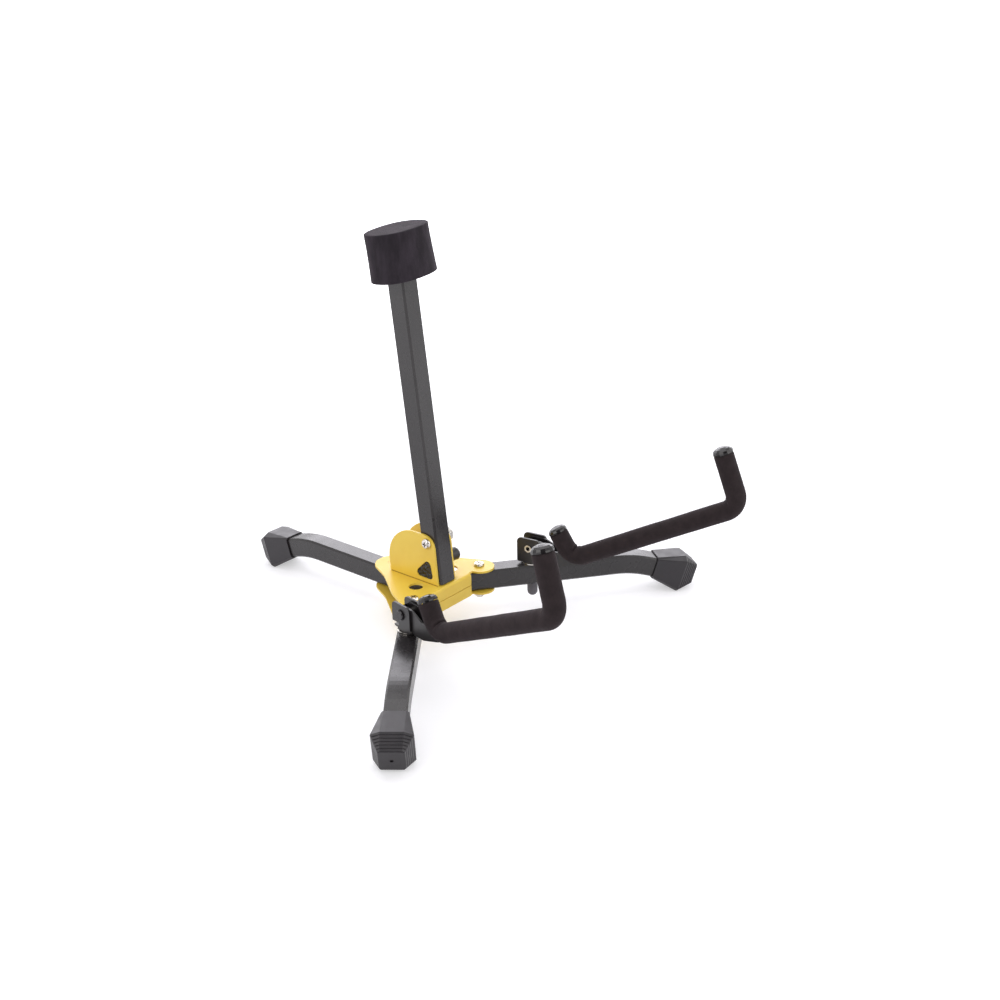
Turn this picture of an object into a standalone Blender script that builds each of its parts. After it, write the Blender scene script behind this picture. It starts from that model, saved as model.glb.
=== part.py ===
"""Folding acoustic guitar stand: three square-tube legs round a pressed-steel
hub, a short upright with a foam rest, and two swivelling cradle yokes.

Frame: X is across the stand, -Y is the front, +Z is up. The origin lies on the
floor, under the centre of the whole stand. Sizes are in metres.
"""

import math

import bmesh
import bpy
from mathutils import Matrix, Vector

MM = 0.001

# Clearances shared by every fit
SEAT_GAP = 0.3 * MM
HOLE_GAP = 0.3 * MM

# Square tube, the same stock for the legs and the upright
TUBE_SIDE = 16.0 * MM
TUBE_WALL = 1.2 * MM
TUBE_CORNER = 1.4 * MM

# Hub pressings
PLATE = 1.6 * MM
TUBE_FOOT_GAP = 0.85 * MM
LOBE_RADIUS = 10.9 * MM
LOBE_OFFSET_Y = 1.4 * MM
FLANGE_Y = -3.0 * MM
FLANGE_HALF = 22.3 * MM
FLANGE_SEAM = 0.5 * MM
FLANGE_BEND = 2.3 * MM
NOTCH_WIDTH = 4.2 * MM
TONGUE_RADIUS = 14.4 * MM
TONGUE_Y = 57.6 * MM
SHOULDER_X = 39.0 * MM
SHOULDER_Y = 22.4 * MM
WAIST_X = 20.2 * MM
WAIST_Y = 48.2 * MM
SHOULDER_FILLET = 40.0 * MM
WAIST_FILLET = 50.0 * MM
HUB_HOLE_RADIUS = 5.6 * MM
HUB_HOLE_X = 19.7 * MM
HUB_HOLE_Y = 15.7 * MM

# Upright and its two ears
LEAN = math.radians(6.787)
PIVOT_Y = 11.86 * MM
PIVOT_Z = 32.0 * MM
UPRIGHT_REACH = 225.0 * MM
EAR_FRONT_Y = 2.3 * MM
EAR_REAR_Y = 50.9 * MM
EAR_CROWN_Y = 25.3 * MM
EAR_CROWN_Z = 38.3 * MM
EAR_CROWN_RADIUS = 26.5 * MM
EAR_NOSE_RADIUS = 10.0 * MM
EAR_NOSE_SLOPE = 3.3 * MM
PICK_Y = 15.5 * MM
PICK_Z = 10.0 * MM
PICK_TIP = 13.9 * MM
PICK_REACH = 11.6 * MM
PICK_FILLET = 3.2 * MM
PICK_ANGLES = (-30.0, 117.0, 220.0)
PICK_INSERT_RECESS = 0.4 * MM

# Foam head on top of the upright
HEAD_HALF_X = 25.6 * MM
HEAD_HALF_Y = 20.2 * MM
HEAD_HEIGHT = 34.2 * MM
HEAD_TUBE_DEPTH = 25.9 * MM
HEAD_FORWARD = 1.8 * MM
HEAD_ROLL = math.radians(4.2)
HEAD_EDGE_ROUND = 1.0 * MM
HEAD_FACETS = 32
PLUG_HEIGHT = 6.0 * MM
PLUG_LID = 1.6 * MM

# Legs: distances run along each leg from its own pivot or from the hub centre
LEG_ANGLE = math.radians(52.15)
LEG_PIVOT_X = 37.4 * MM
LEG_PIVOT_Y = 1.9 * MM
LEG_TAIL = 7.9 * MM
FRONT_RIM = 141.0 * MM
REAR_RIM = 169.2 * MM
REAR_LEG_START = 21.0 * MM
LEG_BEND = math.radians(17.25)
LEG_BEND_RADIUS = 85.0 * MM
BEND_TO_RIM = 31.5 * MM
BEND_STEPS = 6

# Rubber boots
BOOT_SOCKET = 26.0 * MM
BOOT_WIDE_AT = 22.5 * MM
BOOT_LENGTH = 34.5 * MM
BOOT_FACET_HALF = 7.7 * MM
BOOT_RIM_HALF_WIDTH = 9.3 * MM
BOOT_RIM_HALF_HEIGHT = 9.1 * MM
BOOT_HALF_WIDTH = 14.1 * MM
BOOT_HALF_HEIGHT = 14.9 * MM
BOOT_BOTTOM_HALF = 11.3 * MM
BOOT_CHAMFER_DROP = 2.6 * MM
BOOT_RIM_CHAMFER = 1.6 * MM
BOOT_END_CHAMFER = 0.9 * MM
BOOT_CORNER = 0.6 * MM
BOOT_END_HALF_WIDTH = 8.4 * MM
BOOT_END_TOP = 9.4 * MM
BOOT_END_BOTTOM = 7.6 * MM
BOOT_RIBS = 6
BOOT_GROOVE = 0.55 * MM
BOOT_DIMPLE_RADIUS = 1.3 * MM
BOOT_DIMPLE_DEPTH = 1.0 * MM
BOOT_SOLE_CUT = 0.4 * MM

# Screws, nuts and rivets
BOLT_RADIUS = 3.0 * MM
BOLT_HEAD_RADIUS = 4.1 * MM
BOLT_HEAD_HEIGHT = 2.4 * MM
BOLT_TIP = 1.5 * MM
CROSS_WIDTH = 1.0 * MM
CROSS_LENGTH = 4.2 * MM
CROSS_DEPTH = 1.3 * MM
NUT_RADIUS = 5.6 * MM
NUT_HEIGHT = 4.2 * MM
NUT_EDGE_ROUND = 0.4 * MM
SLEEVE_WALL = 1.5 * MM
RIVET_RADIUS = 2.5 * MM
RIVET_HEAD_RADIUS = 4.2 * MM
RIVET_HEAD_HEIGHT = 1.8 * MM
REAR_RIVET_YS = (32.0 * MM, 60.0 * MM)

# Lock on the right ear
LOCK_Y = 13.7 * MM
LOCK_Z = 11.4 * MM
LOCK_TRAVEL = 3.0 * MM
LOCK_SPRING_ROOM = 2.2 * MM
LOCK_FLANGE = 1.2 * MM
LOCK_PIN_RADIUS = 2.4 * MM
LOCK_COLLAR_RADIUS = 3.4 * MM
LOCK_COLLAR_THICK = 1.0 * MM
LOCK_STEM_RADIUS = 1.8 * MM
LOCK_BARREL_WALL = 1.2 * MM
LOCK_KNOB_RADIUS = 5.2 * MM
LOCK_KNOB_LENGTH = 7.0 * MM
LOCK_KNOB_SOCKET = 4.4 * MM
LOCK_KNOB_ROUND = 2.2 * MM
LOCK_KNOB_NECK = 0.82
SPRING_WIRE = 0.35 * MM
SPRING_TURNS = 3.0
SPRING_STEPS = 10

# Cradle bracket: post through the leg, clevis on top, grey cap below
POST_ALONG_LEG = 42.6 * MM
POST_RADIUS = 3.0 * MM
POST_HEAD_RADIUS = 4.6 * MM
POST_HEAD_HEIGHT = 1.6 * MM
CAP_RADIUS = 4.15 * MM
CAP_LENGTH = 12.4 * MM
POST_IN_CAP = 8.0 * MM
RIVET_ABOVE_LEG = 13.75 * MM
CLEVIS_SHEET = 1.5 * MM
CLEVIS_HALF_LENGTH = 10.0 * MM
CLEVIS_ABOVE_RIVET = 8.0 * MM
CLEVIS_CORNER = 3.6 * MM
CLEVIS_NOTCH_LENGTH = 7.0 * MM
CLEVIS_NOTCH_HEIGHT = 5.0 * MM
WASHER_RADIUS = 7.8 * MM
WASHER_THICK = 0.8 * MM
PIN_SHANK_RADIUS = 2.4 * MM
PIN_BORE_RADIUS = 1.7 * MM
PIN_FLANGE_RADIUS = 3.0 * MM
PIN_FLANGE = 0.7 * MM
PIN_HEAD_RADIUS = 4.0 * MM
PIN_HEAD = 1.3 * MM
PIN_BORE_DEPTH = 8.0 * MM

# Cradle yoke: stamped arm, bent rod, foam sleeve and end caps
ARM_WIDTH = 9.0 * MM
ARM_SHEET = 1.5 * MM
ARM_EYE_RADIUS = 6.4 * MM
ARM_REACH = 35.1 * MM
ARM_DROP = 3.7 * MM
ARM_DEPTH = 11.9 * MM
ARM_BELLY = 14.0 * MM
ARM_TOP = 1.0 * MM
ARM_NECK = 4.5 * MM
ARM_NECK_DROP = 1.0 * MM
ARM_NOSE = 2.4 * MM
ARM_YAW = math.radians(9.84)
YOKE_KINK = math.radians(3.66)
YOKE_RISE = math.radians(26.9)
YOKE_BAR = 144.5 * MM
INNER_HORN = 28.6 * MM
INNER_LEAN = math.radians(3.6)
OUTER_HORN = 46.0 * MM
OUTER_LEAN = math.radians(7.1)
ROD_RADIUS = 4.0 * MM
ROD_BEND_RADIUS = 12.0 * MM
ROD_STEPS = 6
FOAM_RADIUS = 7.4 * MM
END_CAP_HEIGHT = 5.0 * MM
END_CAP_SKIRT = 1.2 * MM
END_CAP_ROOF = 2.2 * MM

# Facets round a turned piece, and steps in a fillet
ROUND = 24
SMALL_ROUND = 16
FILLET_STEPS = 4

# Heights that follow from the sizes above, in the hub's own frame, where the
# upright's lower end is at zero
PLATE_TOP = -TUBE_FOOT_GAP
LEG_TOP = PLATE_TOP - PLATE - SEAT_GAP
LEG_MIDDLE = LEG_TOP - TUBE_SIDE / 2
LEG_BOTTOM = LEG_TOP - TUBE_SIDE
LOWER_PLATE_TOP = LEG_BOTTOM - SEAT_GAP
LOWER_PLATE_BOTTOM = LOWER_PLATE_TOP - PLATE
EAR_INNER = TUBE_SIDE / 2 + SEAT_GAP
EAR_OUTER = EAR_INNER + PLATE
RIVET_Z = LEG_TOP + RIVET_ABOVE_LEG

# A flat outline lies in X and Y; this turns it to stand in Y and Z
SIDEWAYS = Matrix(((0, 0, 1, 0), (1, 0, 0, 0), (0, 1, 0, 0), (0, 0, 0, 1)))
ALONG_X = Matrix.Rotation(math.pi / 2, 4, "Y")


def clear_scene():
    """Remove every object that the scene starts with."""
    for obj in list(bpy.data.objects):
        bpy.data.objects.remove(obj, do_unlink=True)


def make_collection(name):
    collection = bpy.data.collections.new(name)
    bpy.context.scene.collection.children.link(collection)
    return collection


def make_material(name, color, roughness, metallic=0.0):
    material = bpy.data.materials.new(name)
    material.use_nodes = True
    shader = material.node_tree.nodes["Principled BSDF"]
    shader.inputs["Base Color"].default_value = (*color, 1.0)
    shader.inputs["Roughness"].default_value = roughness
    shader.inputs["Metallic"].default_value = metallic
    return material


def make_empty(name, parent=None, location=(0.0, 0.0, 0.0), rotation=(0.0, 0.0, 0.0)):
    empty = bpy.data.objects.new(name, None)
    empty.parent = parent
    empty.location = location
    empty.rotation_euler = rotation
    empty.empty_display_size = 0.02
    bpy.context.scene.collection.objects.link(empty)
    return empty


class Workshop:
    """The collections and materials that every sub-part is put into."""

    def __init__(self):
        self.parts = make_collection("guitar_stand")
        self.cutters = make_collection("cutters")
        self.paint = {
            "hub_paint": make_material("hub_paint", (0.73, 0.46, 0.06), 0.42),
            "black_tube": make_material("black_tube", (0.018, 0.017, 0.018), 0.34),
            "black_steel": make_material("black_steel", (0.022, 0.021, 0.023), 0.30, 0.4),
            "nickel": make_material("nickel", (0.62, 0.61, 0.58), 0.22, 1.0),
            "foam": make_material("foam", (0.030, 0.022, 0.023), 0.95),
            "head_foam": make_material("head_foam", (0.035, 0.032, 0.037), 0.93),
            "rubber": make_material("rubber", (0.030, 0.029, 0.035), 0.62),
            "gloss_black": make_material("gloss_black", (0.012, 0.012, 0.014), 0.16),
            "grey_plastic": make_material("grey_plastic", (0.11, 0.11, 0.12), 0.45),
            "nylon": make_material("nylon", (0.35, 0.34, 0.31), 0.50),
        }

    def part(self, name, mesh, parent, paint):
        obj = bpy.data.objects.new(name, mesh)
        obj.parent = parent
        mesh.materials.clear()
        mesh.materials.append(self.paint[paint])
        self.parts.objects.link(obj)
        return obj

    def cutter(self, name, mesh, parent):
        obj = bpy.data.objects.new(name, mesh)
        obj.parent = parent
        obj.hide_render = True
        obj.display_type = "WIRE"
        self.cutters.objects.link(obj)
        return obj


def cut(target, tool):
    modifier = target.modifiers.new("cut_" + tool.name, "BOOLEAN")
    modifier.operation = "DIFFERENCE"
    modifier.object = tool
    return modifier


def join(target, tool):
    modifier = target.modifiers.new("join_" + tool.name, "BOOLEAN")
    modifier.operation = "UNION"
    modifier.object = tool
    return modifier


def round_edges(obj, width, segments=2, angle=40.0):
    modifier = obj.modifiers.new("rounded_edges", "BEVEL")
    modifier.width = width
    modifier.segments = segments
    modifier.limit_method = "ANGLE"
    modifier.angle_limit = math.radians(angle)
    return modifier


def smooth(obj, angle=35.0):
    obj.data.shade_smooth()
    obj.data.set_sharp_from_angle(angle=math.radians(angle))
    return obj


def mesh_from(bm, name):
    mesh = bpy.data.meshes.new(name)
    bm.to_mesh(mesh)
    bm.free()
    return mesh


def box_mesh(name, size, centre, turn=Matrix()):
    """A box of the given size, turned, then moved to its centre."""
    bm = bmesh.new()
    bmesh.ops.create_cube(bm, size=1.0, matrix=Matrix.Diagonal((*size, 1.0)))
    bmesh.ops.transform(bm, matrix=Matrix.Translation(centre) @ turn, verts=bm.verts)
    return mesh_from(bm, name)


def cylinder_mesh(name, radius, start, end, segments=ROUND, end_radius=None):
    """A cylinder or cone whose axis runs from start to end."""
    start = Vector(start)
    span = Vector(end) - start
    turn = span.to_track_quat("Z", "Y").to_matrix().to_4x4()
    bm = bmesh.new()
    bmesh.ops.create_cone(
        bm,
        cap_ends=True,
        segments=segments,
        radius1=radius,
        radius2=radius if end_radius is None else end_radius,
        depth=span.length,
        matrix=Matrix.Translation(start + span / 2) @ turn,
    )
    return mesh_from(bm, name)


def turned_mesh(name, profile, matrix=Matrix(), segments=SMALL_ROUND):
    """A profile of (radius, height) points, top to bottom, turned about Z."""
    bm = bmesh.new()
    verts = [bm.verts.new((radius, 0.0, height)) for radius, height in profile]
    for first, second in zip(verts, verts[1:]):
        bm.edges.new((first, second))
    if profile[0][0] > 0.0 and profile[-1][0] > 0.0:
        bm.edges.new((verts[-1], verts[0]))
    blank = bpy.data.objects.new(name, mesh_from(bm, name + "_profile"))
    bpy.context.scene.collection.objects.link(blank)
    screw = blank.modifiers.new("turn", "SCREW")
    screw.steps = segments
    screw.render_steps = segments
    screw.use_merge_vertices = True
    screw.merge_threshold = 0.00001
    mesh = evaluated_mesh(blank, name)
    mesh.transform(matrix)
    return mesh


def evaluated_mesh(obj, name):
    """The object as it shows, as a mesh in its own space; the object goes."""
    bpy.context.view_layer.update()
    graph = bpy.context.evaluated_depsgraph_get()
    mesh = bpy.data.meshes.new_from_object(obj.evaluated_get(graph))
    mesh.name = name
    bpy.data.objects.remove(obj, do_unlink=True)
    bm = bmesh.new()
    bm.from_mesh(mesh)
    bmesh.ops.remove_doubles(bm, verts=bm.verts, dist=0.000002)
    bmesh.ops.recalc_face_normals(bm, faces=bm.faces)
    bm.to_mesh(mesh)
    bm.free()
    return mesh


def levelled(mesh):
    """Round the corners to a tenth of a micron, so that faces of two shapes
    that lie in one plane do so exactly."""
    for vertex in mesh.vertices:
        vertex.co = [round(value, 7) for value in vertex.co]
    return mesh


def curve_object(name, points, cyclic, flat):
    data = bpy.data.curves.new(name, "CURVE")
    data.dimensions = "2D" if flat else "3D"
    spline = data.splines.new("POLY")
    spline.points.add(len(points) - 1)
    for slot, point in zip(spline.points, points):
        place = (*point, 0.0) if len(point) == 2 else tuple(point)
        slot.co = (*place, 1.0)
    spline.use_cyclic_u = cyclic
    obj = bpy.data.objects.new(name, data)
    bpy.context.scene.collection.objects.link(obj)
    return obj


def plate_mesh(name, outline, thickness, matrix=Matrix()):
    """A flat outline, thickened evenly to both sides of its plane."""
    obj = curve_object(name, outline, True, True)
    obj.data.fill_mode = "BOTH"
    obj.data.extrude = thickness / 2
    mesh = evaluated_mesh(obj, name)
    mesh.transform(matrix)
    return levelled(mesh)


def wire_mesh(name, path, radius, resolution=2):
    """A round bar along a path, with filled ends."""
    obj = curve_object(name, path, False, False)
    obj.data.bevel_depth = radius
    obj.data.bevel_resolution = resolution
    obj.data.use_fill_caps = True
    return evaluated_mesh(obj, name)


def swept_mesh(name, path, section):
    """A closed section carried along a path that bends in an upright plane."""
    shape = curve_object(name + "_section", section, True, True)
    obj = curve_object(name, path, False, False)
    obj.data.bevel_mode = "OBJECT"
    obj.data.bevel_object = shape
    obj.data.use_fill_caps = True
    obj.data.twist_mode = "Z_UP"
    mesh = evaluated_mesh(obj, name)
    bpy.data.objects.remove(shape, do_unlink=True)
    return mesh


def arc(centre, radius, start, end, steps):
    """Points on an arc, from start to end in radians."""
    points = []
    for step in range(steps + 1):
        angle = start + (end - start) * step / steps
        x = centre[0] + radius * math.cos(angle)
        y = centre[1] + radius * math.sin(angle)
        points.append(Vector((x, y)))
    return points


def fillet(before, corner, after, radius, steps=FILLET_STEPS):
    """Points that round one corner of a path in two or three dimensions."""
    corner = Vector(corner)
    back = (Vector(before) - corner).normalized()
    ahead = (Vector(after) - corner).normalized()
    half = back.angle(ahead) / 2
    setback = radius / math.tan(half)
    centre = corner + (back + ahead).normalized() * (radius / math.sin(half))
    first = corner + back * setback - centre
    last = corner + ahead * setback - centre
    turn = first.angle(last)
    points = []
    for step in range(steps + 1):
        share = step / steps
        left = math.sin((1 - share) * turn) / math.sin(turn)
        right = math.sin(share * turn) / math.sin(turn)
        points.append(centre + first * left + last * right)
    return points


def rounded_outline(corners, steps=FILLET_STEPS):
    """A closed outline from (x, y, fillet radius) corners."""
    points = []
    count = len(corners)
    for index, (x, y, radius) in enumerate(corners):
        before = corners[index - 1][:2]
        after = corners[(index + 1) % count][:2]
        if radius > 0.0:
            points += fillet(before, (x, y), after, radius, steps)
        else:
            points.append(Vector((x, y)))
    return points


def offset_outline(outline, distance):
    """A closed outline moved outwards; it runs anticlockwise."""
    moved = []
    count = len(outline)
    for index, point in enumerate(outline):
        back = (point - outline[index - 1]).normalized()
        ahead = (outline[(index + 1) % count] - point).normalized()
        normal = Vector((back.y + ahead.y, -back.x - ahead.x)).normalized()
        miter = 1.0 / max(normal.dot(Vector((ahead.y, -ahead.x))), 0.5)
        moved.append(point + normal * distance * miter)
    return moved


def square_section(half, corner):
    signs = ((1, 1), (-1, 1), (-1, -1), (1, -1))
    return rounded_outline([(half * x, half * y, corner) for x, y in signs], 1)


def square_tube(shop, name, path, parent, paint, overrun):
    """An open square tube along a path, hollowed by a slimmer one."""
    half = TUBE_SIDE / 2
    section = square_section(half, TUBE_CORNER)
    tube = shop.part(name, swept_mesh(name, path, section), parent, paint)
    head = path[0] + (path[0] - path[1]).normalized() * overrun
    tail = path[-1] + (path[-1] - path[-2]).normalized() * overrun
    bore = square_section(half - TUBE_WALL, TUBE_CORNER / 2)
    bore_path = [head, *path[1:-1], tail]
    cut(tube, shop.cutter(name + "_bore", swept_mesh(name + "_bore", bore_path, bore), parent))
    return tube


def screw_head_profile(radius, height, shank, length):
    """A pan head on a plain shank, from the head's crown down."""
    profile = [(0.0, height)]
    for point in arc((radius - height * 0.8, height * 0.2), height * 0.8, math.pi / 2, 0.0, 4):
        profile.append((point.x, point.y))
    profile += [(radius, 0.0), (shank, 0.0), (shank, -length), (0.0, -length)]
    return profile


def cross_recess(shop, name, parent, top):
    """Two crossed bars that cut the driver's cross into a screw head."""
    middle = Vector((0.0, 0.0, top - CROSS_DEPTH / 2 + SEAT_GAP / 2))
    depth = CROSS_DEPTH + SEAT_GAP
    bars = []
    for index, size in enumerate(((CROSS_LENGTH, CROSS_WIDTH), (CROSS_WIDTH, CROSS_LENGTH))):
        label = f"{name}_cross_{index}"
        bars.append(shop.cutter(label, box_mesh(label, (*size, depth), middle), parent))
    return bars


def hexagon(radius):
    return arc((0.0, 0.0), radius, 0.0, math.radians(300.0), 5)


def merged_mesh(name, meshes):
    """Several separate closed shapes in one mesh, for a single cut."""
    bm = bmesh.new()
    for mesh in meshes:
        bm.from_mesh(mesh)
    return mesh_from(bm, name)


def shelf(x, y):
    """Two heights a little outside the hub, for a cut right through it."""
    reach = 4 * PLATE
    return Vector((x, y, LOWER_PLATE_BOTTOM - reach)), Vector((x, y, PLATE_TOP + reach))


def hub_outline():
    """Plan of the hub plates: front bend line, two leg lobes, rear tongue."""
    front = FLANGE_Y + FLANGE_BEND
    lobe = (LEG_PIVOT_X, LEG_PIVOT_Y - LOBE_OFFSET_Y)
    side = [Vector((FLANGE_HALF, front)), Vector((FLANGE_HALF + NOTCH_WIDTH, front))]
    side += arc(lobe, LOBE_RADIUS, math.radians(212.0), math.radians(380.0), 11)
    shoulder = (SHOULDER_X, SHOULDER_Y)
    waist = (WAIST_X, WAIST_Y)
    tongue = arc((0.0, TONGUE_Y), TONGUE_RADIUS, math.radians(22.0), math.pi / 2, 6)
    side += fillet(side[-1], shoulder, waist, SHOULDER_FILLET)
    side += fillet(shoulder, waist, tongue[0], WAIST_FILLET)
    side += tongue
    return side + [Vector((-point.x, point.y)) for point in reversed(side[:-1])]


def flange_mesh(name, face, inward):
    """The bent front edge of one hub plate; inward is the way it turns."""
    seam = LEG_MIDDLE - inward * FLANGE_SEAM / 2
    behind = FLANGE_Y + FLANGE_BEND + PLATE
    inner = face + inward * PLATE
    corners = [
        (behind, face, 0.0),
        (FLANGE_Y, face, FLANGE_BEND),
        (FLANGE_Y, seam, 0.0),
        (FLANGE_Y + PLATE, seam, 0.0),
        (FLANGE_Y + PLATE, inner, FLANGE_BEND - PLATE),
        (behind, inner, 0.0),
    ]
    return plate_mesh(name, rounded_outline(corners), 2 * FLANGE_HALF, SIDEWAYS)


def hub_plate(shop, name, stand, face, inward):
    """One hub pressing without its holes."""
    middle = Matrix.Translation((0.0, 0.0, face + inward * PLATE / 2))
    plate = shop.part(name, plate_mesh(name, hub_outline(), PLATE, middle), stand, "hub_paint")
    join(plate, shop.cutter(name + "_flange", flange_mesh(name + "_flange", face, inward), stand))
    return plate


def ear_mesh(name, side):
    """One upright ear: level crown, quarter-round back and a rounded nose."""
    root = PLATE_TOP - PLATE / 2
    middle = (EAR_CROWN_Y, EAR_CROWN_Z - EAR_CROWN_RADIUS)
    back = arc(middle, EAR_CROWN_RADIUS, 0.0, math.pi / 2, 9)
    nose = fillet(back[-1], (EAR_FRONT_Y + EAR_NOSE_SLOPE, EAR_CROWN_Z),
                  (EAR_FRONT_Y, root), EAR_NOSE_RADIUS)
    outline = [Vector((EAR_FRONT_Y, root)), Vector((EAR_REAR_Y, root)), *back, *nose]
    place = Matrix.Translation((side * (EAR_INNER + PLATE / 2), 0.0, 0.0))
    return plate_mesh(name, outline, PLATE, place @ SIDEWAYS)


def pick_outline():
    """The rounded three-cornered window in the left ear."""
    corners = []
    for angle, reach in zip(PICK_ANGLES, (PICK_TIP, PICK_REACH, PICK_REACH)):
        y = PICK_Y + reach * math.cos(math.radians(angle))
        z = PICK_Z + reach * math.sin(math.radians(angle))
        corners.append((y, z, PICK_FILLET))
    return rounded_outline(corners)


def hub_holes(name, with_windows):
    """Leg pivot and rivet holes, and the two round windows of the top plate."""
    holes = []
    for side in (-1, 1):
        ends = shelf(side * LEG_PIVOT_X, LEG_PIVOT_Y)
        holes.append(cylinder_mesh(name, BOLT_RADIUS + HOLE_GAP, *ends, SMALL_ROUND))
        if with_windows:
            ends = shelf(side * HUB_HOLE_X, HUB_HOLE_Y)
            holes.append(cylinder_mesh(name, HUB_HOLE_RADIUS, *ends))
    for y in REAR_RIVET_YS:
        holes.append(cylinder_mesh(name, RIVET_RADIUS + HOLE_GAP, *shelf(0.0, y), SMALL_ROUND))
    return merged_mesh(name, holes)


def ear_holes(name):
    """Pivot holes, the left ear's window and the right ear's lock hole."""
    reach = EAR_OUTER + PLATE
    pivot = cylinder_mesh(name, BOLT_RADIUS + HOLE_GAP, (-reach, PIVOT_Y, PIVOT_Z),
                          (reach, PIVOT_Y, PIVOT_Z), SMALL_ROUND)
    lock = cylinder_mesh(name, LOCK_PIN_RADIUS + HOLE_GAP, (0.0, LOCK_Y, LOCK_Z),
                         (reach, LOCK_Y, LOCK_Z), SMALL_ROUND)
    place = Matrix.Translation((-EAR_OUTER, 0.0, 0.0))
    window = plate_mesh(name, pick_outline(), 3 * PLATE, place @ SIDEWAYS)
    return merged_mesh(name, [pivot, lock, window])


def build_hub(shop, stand):
    """Two yellow pressings that hold the legs between them."""
    top = hub_plate(shop, "hub_top_plate", stand, PLATE_TOP, -1)
    for side, label in ((-1, "left_ear"), (1, "right_ear")):
        join(top, shop.cutter(label, ear_mesh(label, side), stand))
    cut(top, shop.cutter("top_holes", hub_holes("top_holes", True), stand))
    cut(top, shop.cutter("ear_holes", ear_holes("ear_holes"), stand))
    lower = hub_plate(shop, "hub_bottom_plate", stand, LOWER_PLATE_BOTTOM, 1)
    cut(lower, shop.cutter("lower_holes", hub_holes("lower_holes", False), stand))


def leg_path(start, rim):
    """A leg's centreline from its inner end into its boot, and the boot's rim."""
    points = [Vector((0.0, start, LEG_MIDDLE))]
    hub_of_bend = (rim - BEND_TO_RIM, LEG_MIDDLE - LEG_BEND_RADIUS)
    for point in arc(hub_of_bend, LEG_BEND_RADIUS, math.pi / 2, math.pi / 2 - LEG_BEND,
                     BEND_STEPS):
        points.append(Vector((0.0, point.x, point.y)))
    ahead = Vector((0.0, math.cos(LEG_BEND), -math.sin(LEG_BEND)))
    rim_point = points[-1] + ahead * ((rim - points[-1].y) / ahead.y)
    points.append(rim_point + ahead * (BOOT_SOCKET - SEAT_GAP))
    return points, rim_point


def floor_height():
    """Height of the floor in the hub's frame: the boots' lowest edge, cut flat."""
    rim_point = leg_path(0.0, REAR_RIM)[1]
    drop = BOOT_WIDE_AT * math.sin(LEG_BEND) + BOOT_HALF_HEIGHT * math.cos(LEG_BEND)
    return rim_point.z - drop + BOOT_SOLE_CUT


def boot_section(half_width, top, bottom, facet, bottom_half, drop, lower_drop):
    """A boot's eight-cornered section, with its corners eased."""
    corners = [
        (facet, top),
        (-facet, top),
        (-half_width, top - drop),
        (-half_width, lower_drop - bottom),
        (-bottom_half, -bottom),
        (bottom_half, -bottom),
        (half_width, lower_drop - bottom),
        (half_width, top - drop),
    ]
    return rounded_outline([(x, z, BOOT_CORNER) for x, z in corners], 1)


def blend(first, last, share):
    return [low + (high - low) * share for low, high in zip(first, last)]


def boot_stations():
    """Sections from the rim to the end, stepped into ribs on the end taper."""
    rim = (BOOT_RIM_HALF_WIDTH, BOOT_RIM_HALF_HEIGHT, BOOT_RIM_HALF_HEIGHT, BOOT_FACET_HALF,
           BOOT_FACET_HALF, BOOT_RIM_CHAMFER, BOOT_RIM_CHAMFER)
    wide = (BOOT_HALF_WIDTH, BOOT_HALF_HEIGHT, BOOT_HALF_HEIGHT, BOOT_FACET_HALF,
            BOOT_BOTTOM_HALF, BOOT_CHAMFER_DROP, BOOT_CHAMFER_DROP)
    end = (BOOT_END_HALF_WIDTH, BOOT_END_TOP, BOOT_END_BOTTOM, BOOT_FACET_HALF - BOOT_GROOVE,
           BOOT_END_HALF_WIDTH - BOOT_END_CHAMFER, BOOT_END_CHAMFER, BOOT_END_CHAMFER)
    groove = (BOOT_GROOVE, BOOT_GROOVE, 0.0, 0.0, 0.0, 0.0, 0.0)
    stations = [(0.0, rim), (BOOT_WIDE_AT, wide)]
    taper = BOOT_LENGTH - BOOT_WIDE_AT
    for rib in range(BOOT_RIBS):
        for part, sunk in ((0.60, False), (0.80, True), (1.0, False)):
            share = (rib + part) / BOOT_RIBS
            sizes = blend(wide, end, share)
            if sunk:
                sizes = [size - depth for size, depth in zip(sizes, groove)]
            stations.append((BOOT_WIDE_AT + taper * share, sizes))
    return stations


def boot_mesh(name):
    """A boot lofted along +Y from its rim, which is centred on the origin."""
    bm = bmesh.new()
    rings = []
    for distance, sizes in boot_stations():
        section = boot_section(*sizes)
        rings.append([bm.verts.new((point.x, distance, point.y)) for point in section])
    count = len(rings[0])
    for near, far in zip(rings, rings[1:]):
        for index in range(count):
            after = (index + 1) % count
            bm.faces.new((near[index], near[after], far[after], far[index]))
    bm.faces.new(rings[0])
    bm.faces.new(rings[-1])
    bmesh.ops.recalc_face_normals(bm, faces=bm.faces)
    return mesh_from(bm, name)


def boot_hollows(name):
    """The socket for the leg, and the small dimple in the boot's end."""
    half = TUBE_SIDE / 2 + SEAT_GAP
    lead = BOOT_RIM_HALF_WIDTH
    path = [Vector((0.0, -lead, 0.0)), Vector((0.0, BOOT_SOCKET, 0.0))]
    socket = swept_mesh(name, path, square_section(half, TUBE_CORNER))
    height = (BOOT_END_TOP - BOOT_END_BOTTOM) / 2
    start = (0.0, BOOT_LENGTH - BOOT_DIMPLE_DEPTH, height)
    stop = (0.0, BOOT_LENGTH + BOOT_DIMPLE_DEPTH, height)
    dimple = cylinder_mesh(name, BOOT_DIMPLE_RADIUS, start, stop, SMALL_ROUND)
    return merged_mesh(name, [socket, dimple])


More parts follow.
